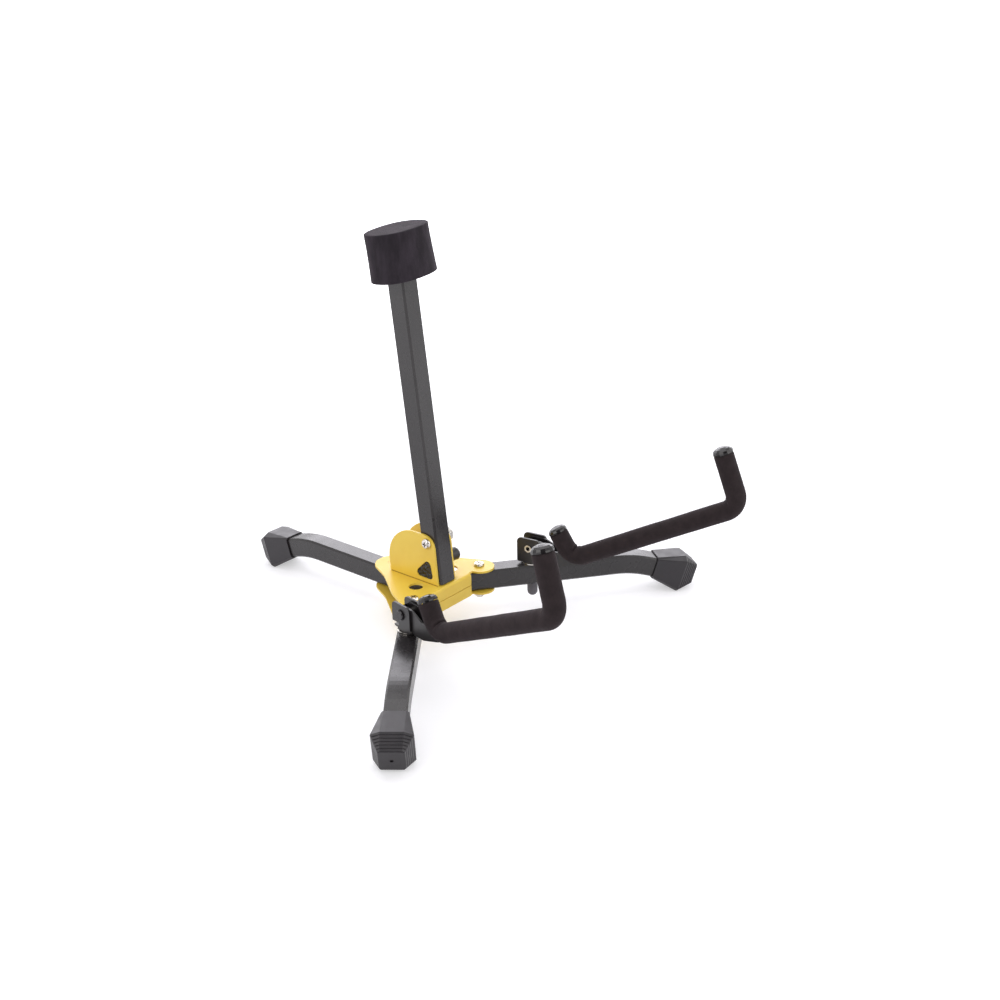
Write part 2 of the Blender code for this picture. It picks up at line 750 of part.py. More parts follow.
def build_boot(shop, name, leg_frame, rim_point, ground):
    frame = make_empty(name + "_rim", leg_frame, rim_point, (-LEG_BEND, 0.0, 0.0))
    boot = smooth(shop.part(name, boot_mesh(name), frame, "rubber"))
    cut(boot, shop.cutter(name + "_hollow", boot_hollows(name + "_hollow"), frame))
    cut(boot, ground)


def build_ground(shop, stand):
    """Everything below the floor, taken off the boots for their flat soles."""
    reach = 2 * (FRONT_RIM + REAR_RIM)
    depth = BOOT_HALF_HEIGHT
    centre = (0.0, 0.0, floor_height() - depth / 2)
    return shop.cutter("ground", box_mesh("ground", (reach, reach, depth), centre), stand)


def build_rear_leg(shop, stand, ground):
    """The fixed leg, riveted between the hub plates."""
    path, rim_point = leg_path(REAR_LEG_START, REAR_RIM)
    leg = square_tube(shop, "rear_leg", path, stand, "black_tube", PLATE)
    holes = []
    for y in REAR_RIVET_YS:
        ends = shelf(0.0, y)
        holes.append(cylinder_mesh("rivet_hole", RIVET_RADIUS + HOLE_GAP, *ends, SMALL_ROUND))
    cut(leg, shop.cutter("rear_leg_holes", merged_mesh("rear_leg_holes", holes), stand))
    build_boot(shop, "rear_boot", stand, rim_point, ground)
    for label, y in zip(("front", "back"), REAR_RIVET_YS):
        name = f"rear_leg_rivet_{label}"
        seat = make_empty(name + "_seat", stand, (0.0, y, 0.0))
        smooth(shop.part(name, rear_rivet_mesh(name), seat, "hub_paint"))


def rear_rivet_mesh(name):
    """A solid rivet through both plates, ground flush on top, domed below."""
    bottom = LOWER_PLATE_BOTTOM - SEAT_GAP
    profile = [(0.0, PLATE_TOP), (RIVET_RADIUS, PLATE_TOP), (RIVET_RADIUS, bottom)]
    for step in range(5):
        angle = math.pi / 2 * step / 4
        radius = RIVET_HEAD_RADIUS * math.cos(angle)
        profile.append((radius, bottom - RIVET_HEAD_HEIGHT * math.sin(angle)))
    profile[-1] = (0.0, bottom - RIVET_HEAD_HEIGHT)
    return turned_mesh(name, profile, Matrix(), SMALL_ROUND)


def build_front_leg(shop, side, stand, ground):
    """A swinging front leg with its pivot screw, sleeve, nut and boot."""
    hand = "left" if side < 0 else "right"
    turn = -side * (math.pi - LEG_ANGLE)
    place = (side * LEG_PIVOT_X, LEG_PIVOT_Y, 0.0)
    frame = make_empty(hand + "_leg_pivot", stand, place, (0.0, 0.0, turn))
    path, rim_point = leg_path(-LEG_TAIL, FRONT_RIM)
    name = f"front_{hand}_leg"
    leg = square_tube(shop, name, path, frame, "black_tube", PLATE)
    sleeve_radius = BOLT_RADIUS + HOLE_GAP + SLEEVE_WALL
    pivot_hole = cylinder_mesh("hole", sleeve_radius + HOLE_GAP, *shelf(0.0, 0.0))
    post_hole = cylinder_mesh("hole", POST_RADIUS + HOLE_GAP, *shelf(0.0, POST_ALONG_LEG),
                              SMALL_ROUND)
    holes = merged_mesh(name + "_holes", [pivot_hole, post_hole])
    cut(leg, shop.cutter(name + "_holes", holes, frame))
    build_boot(shop, f"front_{hand}_boot", frame, rim_point, ground)
    build_leg_pivot(shop, hand, stand, place, sleeve_radius)
    return frame


def build_leg_pivot(shop, hand, stand, place, sleeve_radius):
    """The cross-head screw, spacer sleeve and nut that a front leg turns on."""
    bolt_frame = make_empty(hand + "_leg_bolt_seat", stand,
                            (place[0], place[1], PLATE_TOP + SEAT_GAP))
    grip = PLATE_TOP - LOWER_PLATE_BOTTOM + NUT_HEIGHT + 3 * SEAT_GAP + BOLT_TIP
    profile = screw_head_profile(BOLT_HEAD_RADIUS, BOLT_HEAD_HEIGHT, BOLT_RADIUS, grip)
    name = hand + "_leg_bolt"
    bolt = smooth(shop.part(name, turned_mesh(name, profile), bolt_frame, "nickel"))
    for bar in cross_recess(shop, name, bolt_frame, BOLT_HEAD_HEIGHT):
        cut(bolt, bar)
    bottom = LOWER_PLATE_TOP + SEAT_GAP
    top = LEG_TOP
    ring = [(sleeve_radius, top), (sleeve_radius, bottom),
            (BOLT_RADIUS + HOLE_GAP, bottom), (BOLT_RADIUS + HOLE_GAP, top)]
    sleeve_frame = make_empty(hand + "_leg_sleeve_seat", stand, place)
    name = hand + "_leg_sleeve"
    smooth(shop.part(name, turned_mesh(name, ring), sleeve_frame, "nylon"))
    nut_middle = LOWER_PLATE_BOTTOM - SEAT_GAP - NUT_HEIGHT / 2
    build_nut(shop, hand + "_leg_nut", sleeve_frame, Matrix.Translation((0.0, 0.0, nut_middle)))


def build_nut(shop, name, frame, matrix):
    """A hexagon nut with a clear bore, lying on its own axis."""
    nut = shop.part(name, plate_mesh(name, hexagon(NUT_RADIUS), NUT_HEIGHT, matrix), frame,
                    "nickel")
    round_edges(nut, NUT_EDGE_ROUND, 1, 50.0)
    reach = Vector((0.0, 0.0, NUT_HEIGHT))
    start = matrix @ -reach
    stop = matrix @ reach
    label = name + "_bore"
    bore = cylinder_mesh(label, BOLT_RADIUS + HOLE_GAP, start, stop, SMALL_ROUND)
    cut(nut, shop.cutter(label, bore, frame))


def upright_blank(name, half, corner, low, high):
    """A square bar up the upright's axis, from low to high past its pivot."""
    middle = Matrix.Translation((0.0, 0.0, (low + high) / 2))
    return plate_mesh(name, square_section(half, corner), high - low, middle)


def build_upright(shop, stand):
    """The square upright, cut level at its foot, with its pivot bush."""
    frame = make_empty("upright_hinge", stand, (0.0, PIVOT_Y, PIVOT_Z), (-LEAN, 0.0, 0.0))
    half = TUBE_SIDE / 2
    low = -PIVOT_Z - TUBE_SIDE
    mesh = upright_blank("upright_tube", half, TUBE_CORNER, low, UPRIGHT_REACH)
    tube = smooth(shop.part("upright_tube", mesh, frame, "black_tube"))
    bore = upright_blank("upright_bore", half - TUBE_WALL, TUBE_CORNER / 2, low - PLATE,
                         UPRIGHT_REACH + PLATE)
    cut(tube, shop.cutter("upright_bore", bore, frame))
    reach = PIVOT_Y + 2 * TUBE_SIDE
    foot = box_mesh("upright_foot", (reach, 2 * reach, 2 * TUBE_SIDE),
                    (0.0, PIVOT_Y, -TUBE_SIDE))
    cut(tube, shop.cutter("upright_foot", foot, stand))
    bush_radius = BOLT_RADIUS + HOLE_GAP + SLEEVE_WALL
    hole = cylinder_mesh("upright_hole", bush_radius + HOLE_GAP, (-TUBE_SIDE, 0.0, 0.0),
                         (TUBE_SIDE, 0.0, 0.0))
    cut(tube, shop.cutter("upright_hole", hole, frame))
    ring = [(bush_radius, half), (bush_radius, -half), (BOLT_RADIUS + HOLE_GAP, -half),
            (BOLT_RADIUS + HOLE_GAP, half)]
    bush = turned_mesh("upright_bush", ring, ALONG_X)
    smooth(shop.part("upright_bush", bush, frame, "nylon"))
    build_upright_bolt(shop, stand)
    build_top_plug(shop, frame)
    build_head(shop, frame)
    return frame


def build_upright_bolt(shop, stand):
    """The cross-head screw through both ears, with its nut on the right."""
    head_at = -EAR_OUTER - SEAT_GAP
    frame = make_empty("upright_bolt_seat", stand, (head_at, PIVOT_Y, PIVOT_Z),
                       (0.0, -math.pi / 2, 0.0))
    grip = 2 * EAR_OUTER + NUT_HEIGHT + 3 * SEAT_GAP + BOLT_TIP
    profile = screw_head_profile(BOLT_HEAD_RADIUS, BOLT_HEAD_HEIGHT, BOLT_RADIUS, grip)
    bolt = smooth(shop.part("upright_bolt", turned_mesh("upright_bolt", profile), frame,
                            "nickel"))
    for bar in cross_recess(shop, "upright_bolt", frame, BOLT_HEAD_HEIGHT):
        cut(bolt, bar)
    depth = 2 * EAR_OUTER + 2 * SEAT_GAP + NUT_HEIGHT / 2
    build_nut(shop, "upright_nut", frame, Matrix.Translation((0.0, 0.0, -depth)))


def build_top_plug(shop, frame):
    """The plastic plug that closes the upright under the foam."""
    inner = TUBE_SIDE / 2 - TUBE_WALL - SEAT_GAP
    low = UPRIGHT_REACH - PLUG_HEIGHT
    stem = upright_blank("upright_plug", inner, TUBE_CORNER / 2, low,
                         UPRIGHT_REACH + PLUG_LID / 2)
    plug = shop.part("upright_plug", stem, frame, "grey_plastic")
    lid = upright_blank("plug_lid", TUBE_SIDE / 2, TUBE_CORNER, UPRIGHT_REACH + SEAT_GAP,
                        UPRIGHT_REACH + PLUG_LID)
    join(plug, shop.cutter("plug_lid", lid, frame))


def build_head(shop, frame):
    """The oval foam block, pushed down over the upright a little out of true."""
    outline = []
    for step in range(HEAD_FACETS):
        angle = 2 * math.pi * step / HEAD_FACETS
        outline.append(Vector((HEAD_HALF_X * math.cos(angle), HEAD_HALF_Y * math.sin(angle))))
    height = UPRIGHT_REACH - HEAD_TUBE_DEPTH + HEAD_HEIGHT / 2
    seat = make_empty("head_seat", frame, (0.0, -HEAD_FORWARD, height),
                      (0.0, -HEAD_ROLL, 0.0))
    head = shop.part("foam_head", plate_mesh("foam_head", outline, HEAD_HEIGHT), seat,
                     "head_foam")
    smooth(head, 50.0)
    round_edges(head, HEAD_EDGE_ROUND, 2, 60.0)
    half = TUBE_SIDE / 2 + SEAT_GAP
    bore = upright_blank("head_bore", half, TUBE_CORNER, UPRIGHT_REACH - HEAD_HEIGHT * 2,
                         UPRIGHT_REACH + PLUG_LID + SEAT_GAP)
    cut(head, shop.cutter("head_bore", bore, frame))


def lock_sizes():
    """Stations of the lock along X from the right ear outwards."""
    base = EAR_OUTER + SEAT_GAP
    collar_end = base + LOCK_COLLAR_THICK
    end_wall = collar_end + LOCK_TRAVEL + LOCK_SPRING_ROOM
    barrel_end = end_wall + LOCK_BARREL_WALL
    return base, collar_end, end_wall, barrel_end


def build_lock(shop, stand):
    """The spring plunger on the right ear, and the insert in the left one."""
    base, collar_end, end_wall, barrel_end = lock_sizes()
    axis = make_empty("lock_axis", stand, (0.0, LOCK_Y, LOCK_Z))
    bore = LOCK_COLLAR_RADIUS + SEAT_GAP
    outer = bore + LOCK_BARREL_WALL
    barrel = [
        (LOCK_STEM_RADIUS + SEAT_GAP, barrel_end),
        (outer, barrel_end),
        (outer, base + LOCK_FLANGE),
        (outer + LOCK_FLANGE, base + LOCK_FLANGE),
        (outer + LOCK_FLANGE, base),
        (bore, base),
        (bore, end_wall),
        (LOCK_STEM_RADIUS + SEAT_GAP, end_wall),
    ]
    smooth(shop.part("lock_barrel", turned_mesh("lock_barrel", barrel, ALONG_X), axis,
                     "black_steel"))
    slide = make_empty("lock_slide", axis)
    stem_end = barrel_end + SEAT_GAP + LOCK_KNOB_SOCKET
    pin = [
        (0.0, stem_end),
        (LOCK_STEM_RADIUS, stem_end),
        (LOCK_STEM_RADIUS, collar_end),
        (LOCK_COLLAR_RADIUS, collar_end),
        (LOCK_COLLAR_RADIUS, base),
        (LOCK_PIN_RADIUS, base),
        (LOCK_PIN_RADIUS, EAR_INNER),
        (0.0, EAR_INNER),
    ]
    smooth(shop.part("lock_pin", turned_mesh("lock_pin", pin, ALONG_X), slide, "nickel"))
    build_knob(shop, slide, barrel_end + SEAT_GAP)
    build_spring(shop, axis, collar_end + SEAT_GAP, end_wall - SEAT_GAP)
    build_pick_insert(shop, stand)
    return slide


def build_knob(shop, slide, start):
    """A round-nosed pull knob with a socket for the pin's stem."""
    socket = start + LOCK_KNOB_SOCKET + SEAT_GAP
    nose = start + LOCK_KNOB_LENGTH - LOCK_KNOB_ROUND
    profile = [(0.0, start + LOCK_KNOB_LENGTH)]
    corner = (LOCK_KNOB_RADIUS - LOCK_KNOB_ROUND, nose)
    for point in arc(corner, LOCK_KNOB_ROUND, math.pi / 2, 0.0, 4):
        profile.append((point.x, point.y))
    inner = LOCK_STEM_RADIUS + SEAT_GAP
    profile += [(LOCK_KNOB_RADIUS * LOCK_KNOB_NECK, start), (inner, start), (inner, socket),
                (0.0, socket)]
    smooth(shop.part("lock_knob", turned_mesh("lock_knob", profile, ALONG_X), slide,
                     "gloss_black"))


def build_spring(shop, axis, start, stop):
    """The coil spring round the stem, wound as one wire."""
    radius = (LOCK_STEM_RADIUS + LOCK_COLLAR_RADIUS) / 2
    steps = round(SPRING_TURNS * SPRING_STEPS)
    low = start + SPRING_WIRE
    high = stop - SPRING_WIRE
    path = []
    for step in range(steps + 1):
        angle = 2 * math.pi * step / SPRING_STEPS
        x = low + (high - low) * step / steps
        path.append(Vector((x, radius * math.cos(angle), radius * math.sin(angle))))
    smooth(shop.part("lock_spring", wire_mesh("lock_spring", path, SPRING_WIRE, 1), axis,
                     "nickel"))


def build_pick_insert(shop, stand):
    """The glossy moulding that fills the left ear's window, a little recessed."""
    outline = offset_outline(pick_outline(), -HOLE_GAP)
    thick = PLATE - PICK_INSERT_RECESS
    place = Matrix.Translation((-EAR_INNER - thick / 2, 0.0, 0.0))
    insert = shop.part("lock_insert", plate_mesh("lock_insert", outline, thick,
                                                 place @ SIDEWAYS), stand, "gloss_black")
    return insert


def arm_outline(lift, grow):
    """Side of the cradle arm round its rivet, moved outwards by grow; lift
    raises its upper edge."""
    eye = ARM_EYE_RADIUS
    round_eye = eye * 0.98
    corners = [
        (-eye, -eye, round_eye),
        (ARM_NECK, -eye - ARM_NECK_DROP, ARM_EYE_RADIUS),
        (ARM_BELLY, -ARM_DEPTH, ARM_EYE_RADIUS),
        (ARM_REACH * 0.66, -ARM_DEPTH, ARM_EYE_RADIUS),
        (ARM_REACH + ARM_EYE_RADIUS, -ARM_DROP - ARM_NOSE, ARM_NOSE),
        (ARM_REACH + ARM_EYE_RADIUS, lift - ARM_DROP + ROD_RADIUS, ARM_NOSE / 2),
        (ARM_REACH * 0.63, lift + ARM_TOP, ARM_NOSE),
        (ARM_REACH * 0.3, lift + eye, ARM_EYE_RADIUS),
        (-eye, lift + eye, round_eye),
    ]
    moved = offset_outline([Vector(corner[:2]) for corner in corners], grow)
    return rounded_outline([(point.x, point.y, max(corner[2] + grow, SEAT_GAP))
                            for point, corner in zip(moved, corners)])


def yoke_path(trim):
    """The rod's centreline: inner horn, bar, outer horn, shortened at both tips."""
    bar = Vector((0.0, math.cos(YOKE_RISE), math.sin(YOKE_RISE)))
    up = Vector((0.0, -math.sin(YOKE_RISE), math.cos(YOKE_RISE)))
    inner = up * math.cos(INNER_LEAN) - bar * math.sin(INNER_LEAN)
    outer = up * math.cos(OUTER_LEAN) + bar * math.sin(OUTER_LEAN)
    elbow = Vector((0.0, 0.0, 0.0))
    far_elbow = bar * YOKE_BAR
    inner_tip = inner * (INNER_HORN - trim)
    outer_tip = far_elbow + outer * (OUTER_HORN - trim)
    path = [inner_tip]
    path += fillet(inner_tip, elbow, far_elbow, ROD_BEND_RADIUS, ROD_STEPS)
    path += fillet(elbow, far_elbow, outer_tip, ROD_BEND_RADIUS, ROD_STEPS)
    path.append(outer_tip)
    return path


def build_clevis(shop, hand, bracket, outboard):
    """The bracket pressing on its washer, and the rivet the arm turns on."""
    washer_low = LEG_TOP + SEAT_GAP
    base_low = washer_low + WASHER_THICK + SEAT_GAP
    base_high = base_low + CLEVIS_SHEET
    top = RIVET_Z + CLEVIS_ABOVE_RIVET
    corners = [
        (-CLEVIS_HALF_LENGTH, base_low, CLEVIS_SHEET),
        (CLEVIS_HALF_LENGTH, base_low, CLEVIS_SHEET),
        (CLEVIS_HALF_LENGTH, top, CLEVIS_CORNER),
        (-CLEVIS_HALF_LENGTH, top, CLEVIS_CORNER),
    ]
    half = ARM_WIDTH / 2 + SEAT_GAP
    width = 2 * (half + CLEVIS_SHEET)
    name = hand + "_bracket"
    mesh = plate_mesh(name, rounded_outline(corners), width, SIDEWAYS)
    clevis = smooth(shop.part(name, mesh, bracket, "black_steel"))
    room = 4 * CLEVIS_HALF_LENGTH
    slot = box_mesh(name + "_slot", (2 * half, room, room), (0.0, 0.0, base_high + room / 2))
    cut(clevis, shop.cutter(name + "_slot", slot, bracket))
    size = (width, 2 * CLEVIS_NOTCH_LENGTH, 2 * CLEVIS_NOTCH_HEIGHT)
    middle = (outboard * (half + width / 2), -CLEVIS_HALF_LENGTH, base_low)
    notch = box_mesh(name + "_notch", size, middle)
    cut(clevis, shop.cutter(name + "_notch", notch, bracket))
    eye = cylinder_mesh("hole", PIN_SHANK_RADIUS + HOLE_GAP, (-width, 0.0, RIVET_Z),
                        (width, 0.0, RIVET_Z), SMALL_ROUND)
    post = cylinder_mesh("hole", POST_RADIUS + HOLE_GAP, (0.0, 0.0, base_low - CLEVIS_SHEET),
                         (0.0, 0.0, base_high + CLEVIS_SHEET), SMALL_ROUND)
    cut(clevis, shop.cutter(name + "_holes", merged_mesh(name + "_holes", [eye, post]), bracket))
    ring = [(WASHER_RADIUS, washer_low + WASHER_THICK), (WASHER_RADIUS, washer_low),
            (POST_RADIUS + HOLE_GAP, washer_low),
            (POST_RADIUS + HOLE_GAP, washer_low + WASHER_THICK)]
    name = hand + "_bracket_washer"
    smooth(shop.part(name, turned_mesh(name, ring), bracket, "nickel"))
    build_pin(shop, hand, bracket, outboard, half + CLEVIS_SHEET + SEAT_GAP)
    return base_high


def build_pin(shop, hand, bracket, outboard, reach):
    """A part-hollow rivet: flat head outboard, rolled rim inboard."""
    rim = -reach - PIN_FLANGE
    profile = [
        (0.0, reach + PIN_HEAD),
        (PIN_HEAD_RADIUS - PIN_HEAD / 2, reach + PIN_HEAD),
        (PIN_HEAD_RADIUS, reach + PIN_HEAD / 2),
        (PIN_HEAD_RADIUS, reach),
        (PIN_SHANK_RADIUS, reach),
        (PIN_SHANK_RADIUS, -reach),
        (PIN_FLANGE_RADIUS, -reach),
        (PIN_FLANGE_RADIUS, rim),
        (PIN_BORE_RADIUS, rim),
        (PIN_BORE_RADIUS, rim + PIN_BORE_DEPTH),
        (0.0, rim + PIN_BORE_DEPTH),
    ]
    turn = Matrix.Rotation(outboard * math.pi / 2, 4, "Y")
    place = Matrix.Translation((0.0, 0.0, RIVET_Z)) @ turn
    name = hand + "_bracket_rivet"
    smooth(shop.part(name, turned_mesh(name, profile, place), bracket, "nickel"))


def build_post(shop, hand, leg, base_high):
    """The bolt the bracket swivels on, through the leg into its grey cap."""
    seat = make_empty(hand + "_post_seat", leg, (0.0, POST_ALONG_LEG, 0.0))
    head_low = base_high + SEAT_GAP
    tip = LEG_BOTTOM - SEAT_GAP - POST_IN_CAP
    profile = [
        (0.0, head_low + POST_HEAD_HEIGHT),
        (POST_HEAD_RADIUS * 0.7, head_low + POST_HEAD_HEIGHT),
        (POST_HEAD_RADIUS, head_low + POST_HEAD_HEIGHT / 2),
        (POST_HEAD_RADIUS, head_low),
        (POST_RADIUS, head_low),
        (POST_RADIUS, tip),
        (0.0, tip),
    ]
    name = hand + "_post"
    smooth(shop.part(name, turned_mesh(name, profile), seat, "black_steel"))
    top = LEG_BOTTOM - SEAT_GAP
    middle = (0.0, top - CAP_LENGTH + CAP_RADIUS)
    inner = POST_RADIUS + HOLE_GAP
    cap = [(inner, top), (CAP_RADIUS, top)]
    cap += [(point.x, point.y) for point in arc(middle, CAP_RADIUS, 0.0, -math.pi / 2, 4)]
    cap[-1] = (0.0, top - CAP_LENGTH)
    cap += [(0.0, tip - SEAT_GAP), (inner, tip - SEAT_GAP)]
    name = hand + "_post_cap"
    smooth(shop.part(name, turned_mesh(name, closed_cap(cap)), seat, "grey_plastic"))


def closed_cap(profile):
    """A cup's profile, started and ended on its axis instead of at its rim."""
    axis = [index for index, point in enumerate(profile) if point[0] == 0.0]
    return profile[axis[-1]:] + profile[:axis[0] + 1]


def build_yoke(shop, side, leg):
    """One cradle: bracket on the leg, lifting arm, bent rod, foam and caps."""
    hand = "left" if side < 0 else "right"
    bracket = make_empty(hand + "_swivel", leg, (0.0, POST_ALONG_LEG, 0.0),
                         (0.0, 0.0, side * (ARM_YAW - LEG_ANGLE)))
    base_high = build_clevis(shop, hand, bracket, -side)
    build_post(shop, hand, leg, base_high)
    lift = make_empty(hand + "_lift", bracket, (0.0, 0.0, RIVET_Z))
    rod_frame = make_empty(hand + "_rod_frame", lift, (0.0, ARM_REACH, -ARM_DROP),
                           (0.0, 0.0, side * YOKE_KINK))
    name = hand + "_rod"
    rod = wire_mesh(name, yoke_path(END_CAP_ROOF), ROD_RADIUS, 2)
    smooth(shop.part(name, rod, rod_frame, "black_steel"))
    label = name + "_space"
    space = wire_mesh(label, yoke_path(-END_CAP_ROOF), ROD_RADIUS + HOLE_GAP, 2)
    rod_space = shop.cutter(label, space, rod_frame)
    build_arm(shop, hand, lift, rod_space)
    build_foam(shop, hand, rod_frame, lift, rod_space)
    build_end_caps(shop, hand, rod_frame)
    return bracket, lift


def build_arm(shop, hand, lift, rod_space):
    """The stamped channel that joins the rod to the rivet, open on top."""
    name = hand + "_arm"
    outline = arm_outline(0.0, 0.0)
    arm = shop.part(name, plate_mesh(name, outline, ARM_WIDTH, SIDEWAYS), lift, "black_steel")
    smooth(arm)
    label = name + "_channel"
    channel = plate_mesh(label, arm_outline(ARM_DEPTH, -ARM_SHEET),
                         ARM_WIDTH - 2 * ARM_SHEET, SIDEWAYS)
    cut(arm, shop.cutter(label, channel, lift))
    label = name + "_eye"
    eye = cylinder_mesh(label, PIN_SHANK_RADIUS + HOLE_GAP, (-ARM_WIDTH, 0.0, 0.0),
                        (ARM_WIDTH, 0.0, 0.0), SMALL_ROUND)
    cut(arm, shop.cutter(label, eye, lift))
    cut(arm, rod_space)


def build_foam(shop, hand, rod_frame, lift, rod_space):
    """The foam sleeve, bored for the rod and slit where the arm goes in."""
    name = hand + "_foam_sleeve"
    blank = wire_mesh(name, yoke_path(END_CAP_HEIGHT + SEAT_GAP), FOAM_RADIUS, 6)
    foam = smooth(shop.part(name, blank, rod_frame, "foam"), 50.0)
    cut(foam, rod_space)
    label = name + "_slit"
    slit = plate_mesh(label, arm_outline(0.0, SEAT_GAP), ARM_WIDTH + 2 * SEAT_GAP, SIDEWAYS)
    cut(foam, shop.cutter(label, slit, lift))


def build_end_caps(shop, hand, rod_frame):
    """Domed caps on the rod's two tips, each with a socket for the rod."""
    full = yoke_path(0.0)
    ends = (("inner", full[0], full[1]), ("outer", full[-1], full[-2]))
    for label, tip, before in ends:
        turn = (tip - before).to_track_quat("Z", "Y").to_matrix().to_4x4()
        place = Matrix.Translation(tip) @ turn
        dome = END_CAP_HEIGHT - END_CAP_SKIRT
        inner = ROD_RADIUS + HOLE_GAP
        roof = SEAT_GAP - END_CAP_ROOF
        profile = [(0.0, 0.0)]
        for step in range(1, 5):
            angle = math.pi / 2 * (1 - step / 4)
            profile.append((FOAM_RADIUS * math.cos(angle), dome * (math.sin(angle) - 1)))
        profile += [(FOAM_RADIUS, -END_CAP_HEIGHT), (inner, -END_CAP_HEIGHT), (inner, roof),
                    (0.0, roof)]
        name = f"{hand}_{label}_cap"
        smooth(shop.part(name, turned_mesh(name, profile, place), rod_frame, "gloss_black"))


def centre_on_floor(shop, stand):
    """Move the whole stand so that its box stands centred on the origin."""
    bpy.context.view_layer.update()
    graph = bpy.context.evaluated_depsgraph_get()
    corners = []
    for obj in shop.parts.objects:
        whole = obj.evaluated_get(graph)
        for vertex in whole.data.vertices:
            corners.append(whole.matrix_world @ vertex.co)
    low = [min(corner[axis] for corner in corners) for axis in range(3)]
    high = [max(corner[axis] for corner in corners) for axis in range(3)]
    stand.location = (-(low[0] + high[0]) / 2, -(low[1] + high[1]) / 2, -low[2])
    bpy.context.view_layer.update()
    size = [round((top - bottom) / MM, 3) for bottom, top in zip(low, high)]
    print("size in mm", size)


def main():
    clear_scene()
    shop = Workshop()
    stand = make_empty("stand")
    ground = build_ground(shop, stand)
    build_hub(shop, stand)
    build_rear_leg(shop, stand, ground)
    joints = [build_upright(shop, stand), build_lock(shop, stand)]
    for side in (-1, 1):
        leg = build_front_leg(shop, side, stand, ground)
        bracket, lift = build_yoke(shop, side, leg)
        joints += [leg, bracket, lift]
    centre_on_floor(shop, stand)
    for joint in joints:
        place = joint.matrix_world
        print(joint.name, [round(value, 6) for value in place.translation],
              [round(value, 6) for value in place.to_3x3() @ Vector((1.0, 0.0, 0.0))])


main()
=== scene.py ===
"""Looks, light and camera for a folding acoustic guitar stand.

The stand has square steel legs round a pressed hub, a short upright with a foam
rest on top, and two foam-covered cradle yokes. Sizes are in metres, in the same
frame as the solids: X across the stand, -Y the front, +Z up.
"""

import math

import bmesh
import bpy
from bpy.props import FloatProperty, FloatVectorProperty, PointerProperty, StringProperty
from mathutils import Matrix, Vector, noise


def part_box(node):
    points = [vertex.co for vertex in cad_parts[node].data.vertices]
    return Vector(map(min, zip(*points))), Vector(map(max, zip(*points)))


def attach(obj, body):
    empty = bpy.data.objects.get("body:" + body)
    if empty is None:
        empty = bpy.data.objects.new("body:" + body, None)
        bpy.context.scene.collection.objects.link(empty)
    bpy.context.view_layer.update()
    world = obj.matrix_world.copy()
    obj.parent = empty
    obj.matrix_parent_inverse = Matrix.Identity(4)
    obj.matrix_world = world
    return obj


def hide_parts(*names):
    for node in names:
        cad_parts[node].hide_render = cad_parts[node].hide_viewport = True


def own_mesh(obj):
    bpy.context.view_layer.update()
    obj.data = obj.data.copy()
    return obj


bl_info = {
    "name": "Guitar Stand Looks",
    "version": (1, 0, 0),
    "blender": (4, 5, 0),
    "location": "View3D > Sidebar > Guitar Stand",
    "description": "Foam, coatings and studio for a folding guitar stand",
    "category": "3D View",
}

MM = 0.001
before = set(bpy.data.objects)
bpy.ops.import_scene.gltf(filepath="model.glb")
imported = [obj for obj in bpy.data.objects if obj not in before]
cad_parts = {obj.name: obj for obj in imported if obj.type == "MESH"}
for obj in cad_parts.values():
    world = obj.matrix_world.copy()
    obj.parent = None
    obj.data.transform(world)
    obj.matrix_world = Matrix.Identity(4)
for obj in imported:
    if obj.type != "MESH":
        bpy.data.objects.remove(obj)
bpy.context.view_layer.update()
SIDES = {"left": -1, "right": 1}

# The ears' fold, along which the hub's coat gets a thin stripe of painted shade: X on either side,
# Z, first Y and last Y.
FOLD = (9.9 * MM, 36.18 * MM, -5.5 * MM, 41.5 * MM)

# The upright's pivot, its lean back at rest and the half width of its tube with play.
HINGE = (0.0, 3.66 * MM, 69.03 * MM)
UPRIGHT_LEAN = math.radians(6.787)
TUBE_HALF = 8.3 * MM
TUBE_TOP = 225.3 * MM
SOCKET_DEPTH = 120 * MM

# The head foam: half sizes, rim, middle above the pivot, and its tilt to one side.
HEAD_HALF = (25.0 * MM, 19.7 * MM, 17.1 * MM)
HEAD_RIM = 0.35 * MM
HEAD_MIDDLE = (0.0, -1.8 * MM, 216.2 * MM)
HEAD_TILT = math.radians(4.2)

# The lock's spring: wire and coil radius, and turns.
SPRING_WIRE = 0.35 * MM
SPRING_COIL = 2.6 * MM
SPRING_TURNS = 3


# Materials


def linear(code):
    """An sRGB hex colour as a linear RGBA tuple."""
    made = []
    for place in (0, 2, 4):
        shade = int(code[place : place + 2], 16) / 255
        made.append(shade / 12.92 if shade <= 0.04045 else ((shade + 0.055) / 1.055) ** 2.4)
    return (*made, 1.0)


def add(tree, kind, links=None, values=None, **settings):
    """A shader node with its settings, its fixed values and its incoming links."""
    made = tree.nodes.new(kind)
    for name, setting in settings.items():
        setattr(made, name, setting)
    for socket, value in (values or {}).items():
        made.inputs[socket].default_value = value
    for socket, source in (links or {}).items():
        tree.links.new(source, made.inputs[socket])
    return made


def start(name):
    """A new material, its node tree, its shader and its output."""
    paint = bpy.data.materials.new(name)
    paint.use_nodes = True
    tree = paint.node_tree
    tree.nodes.clear()
    shader = add(tree, "ShaderNodeBsdfPrincipled")
    add(tree, "ShaderNodeOutputMaterial", {"Surface": shader.outputs["BSDF"]})
    return paint, tree, shader


def per_metre(size):
    """Noise scale that gives features of this size."""
    return 1.0 / size


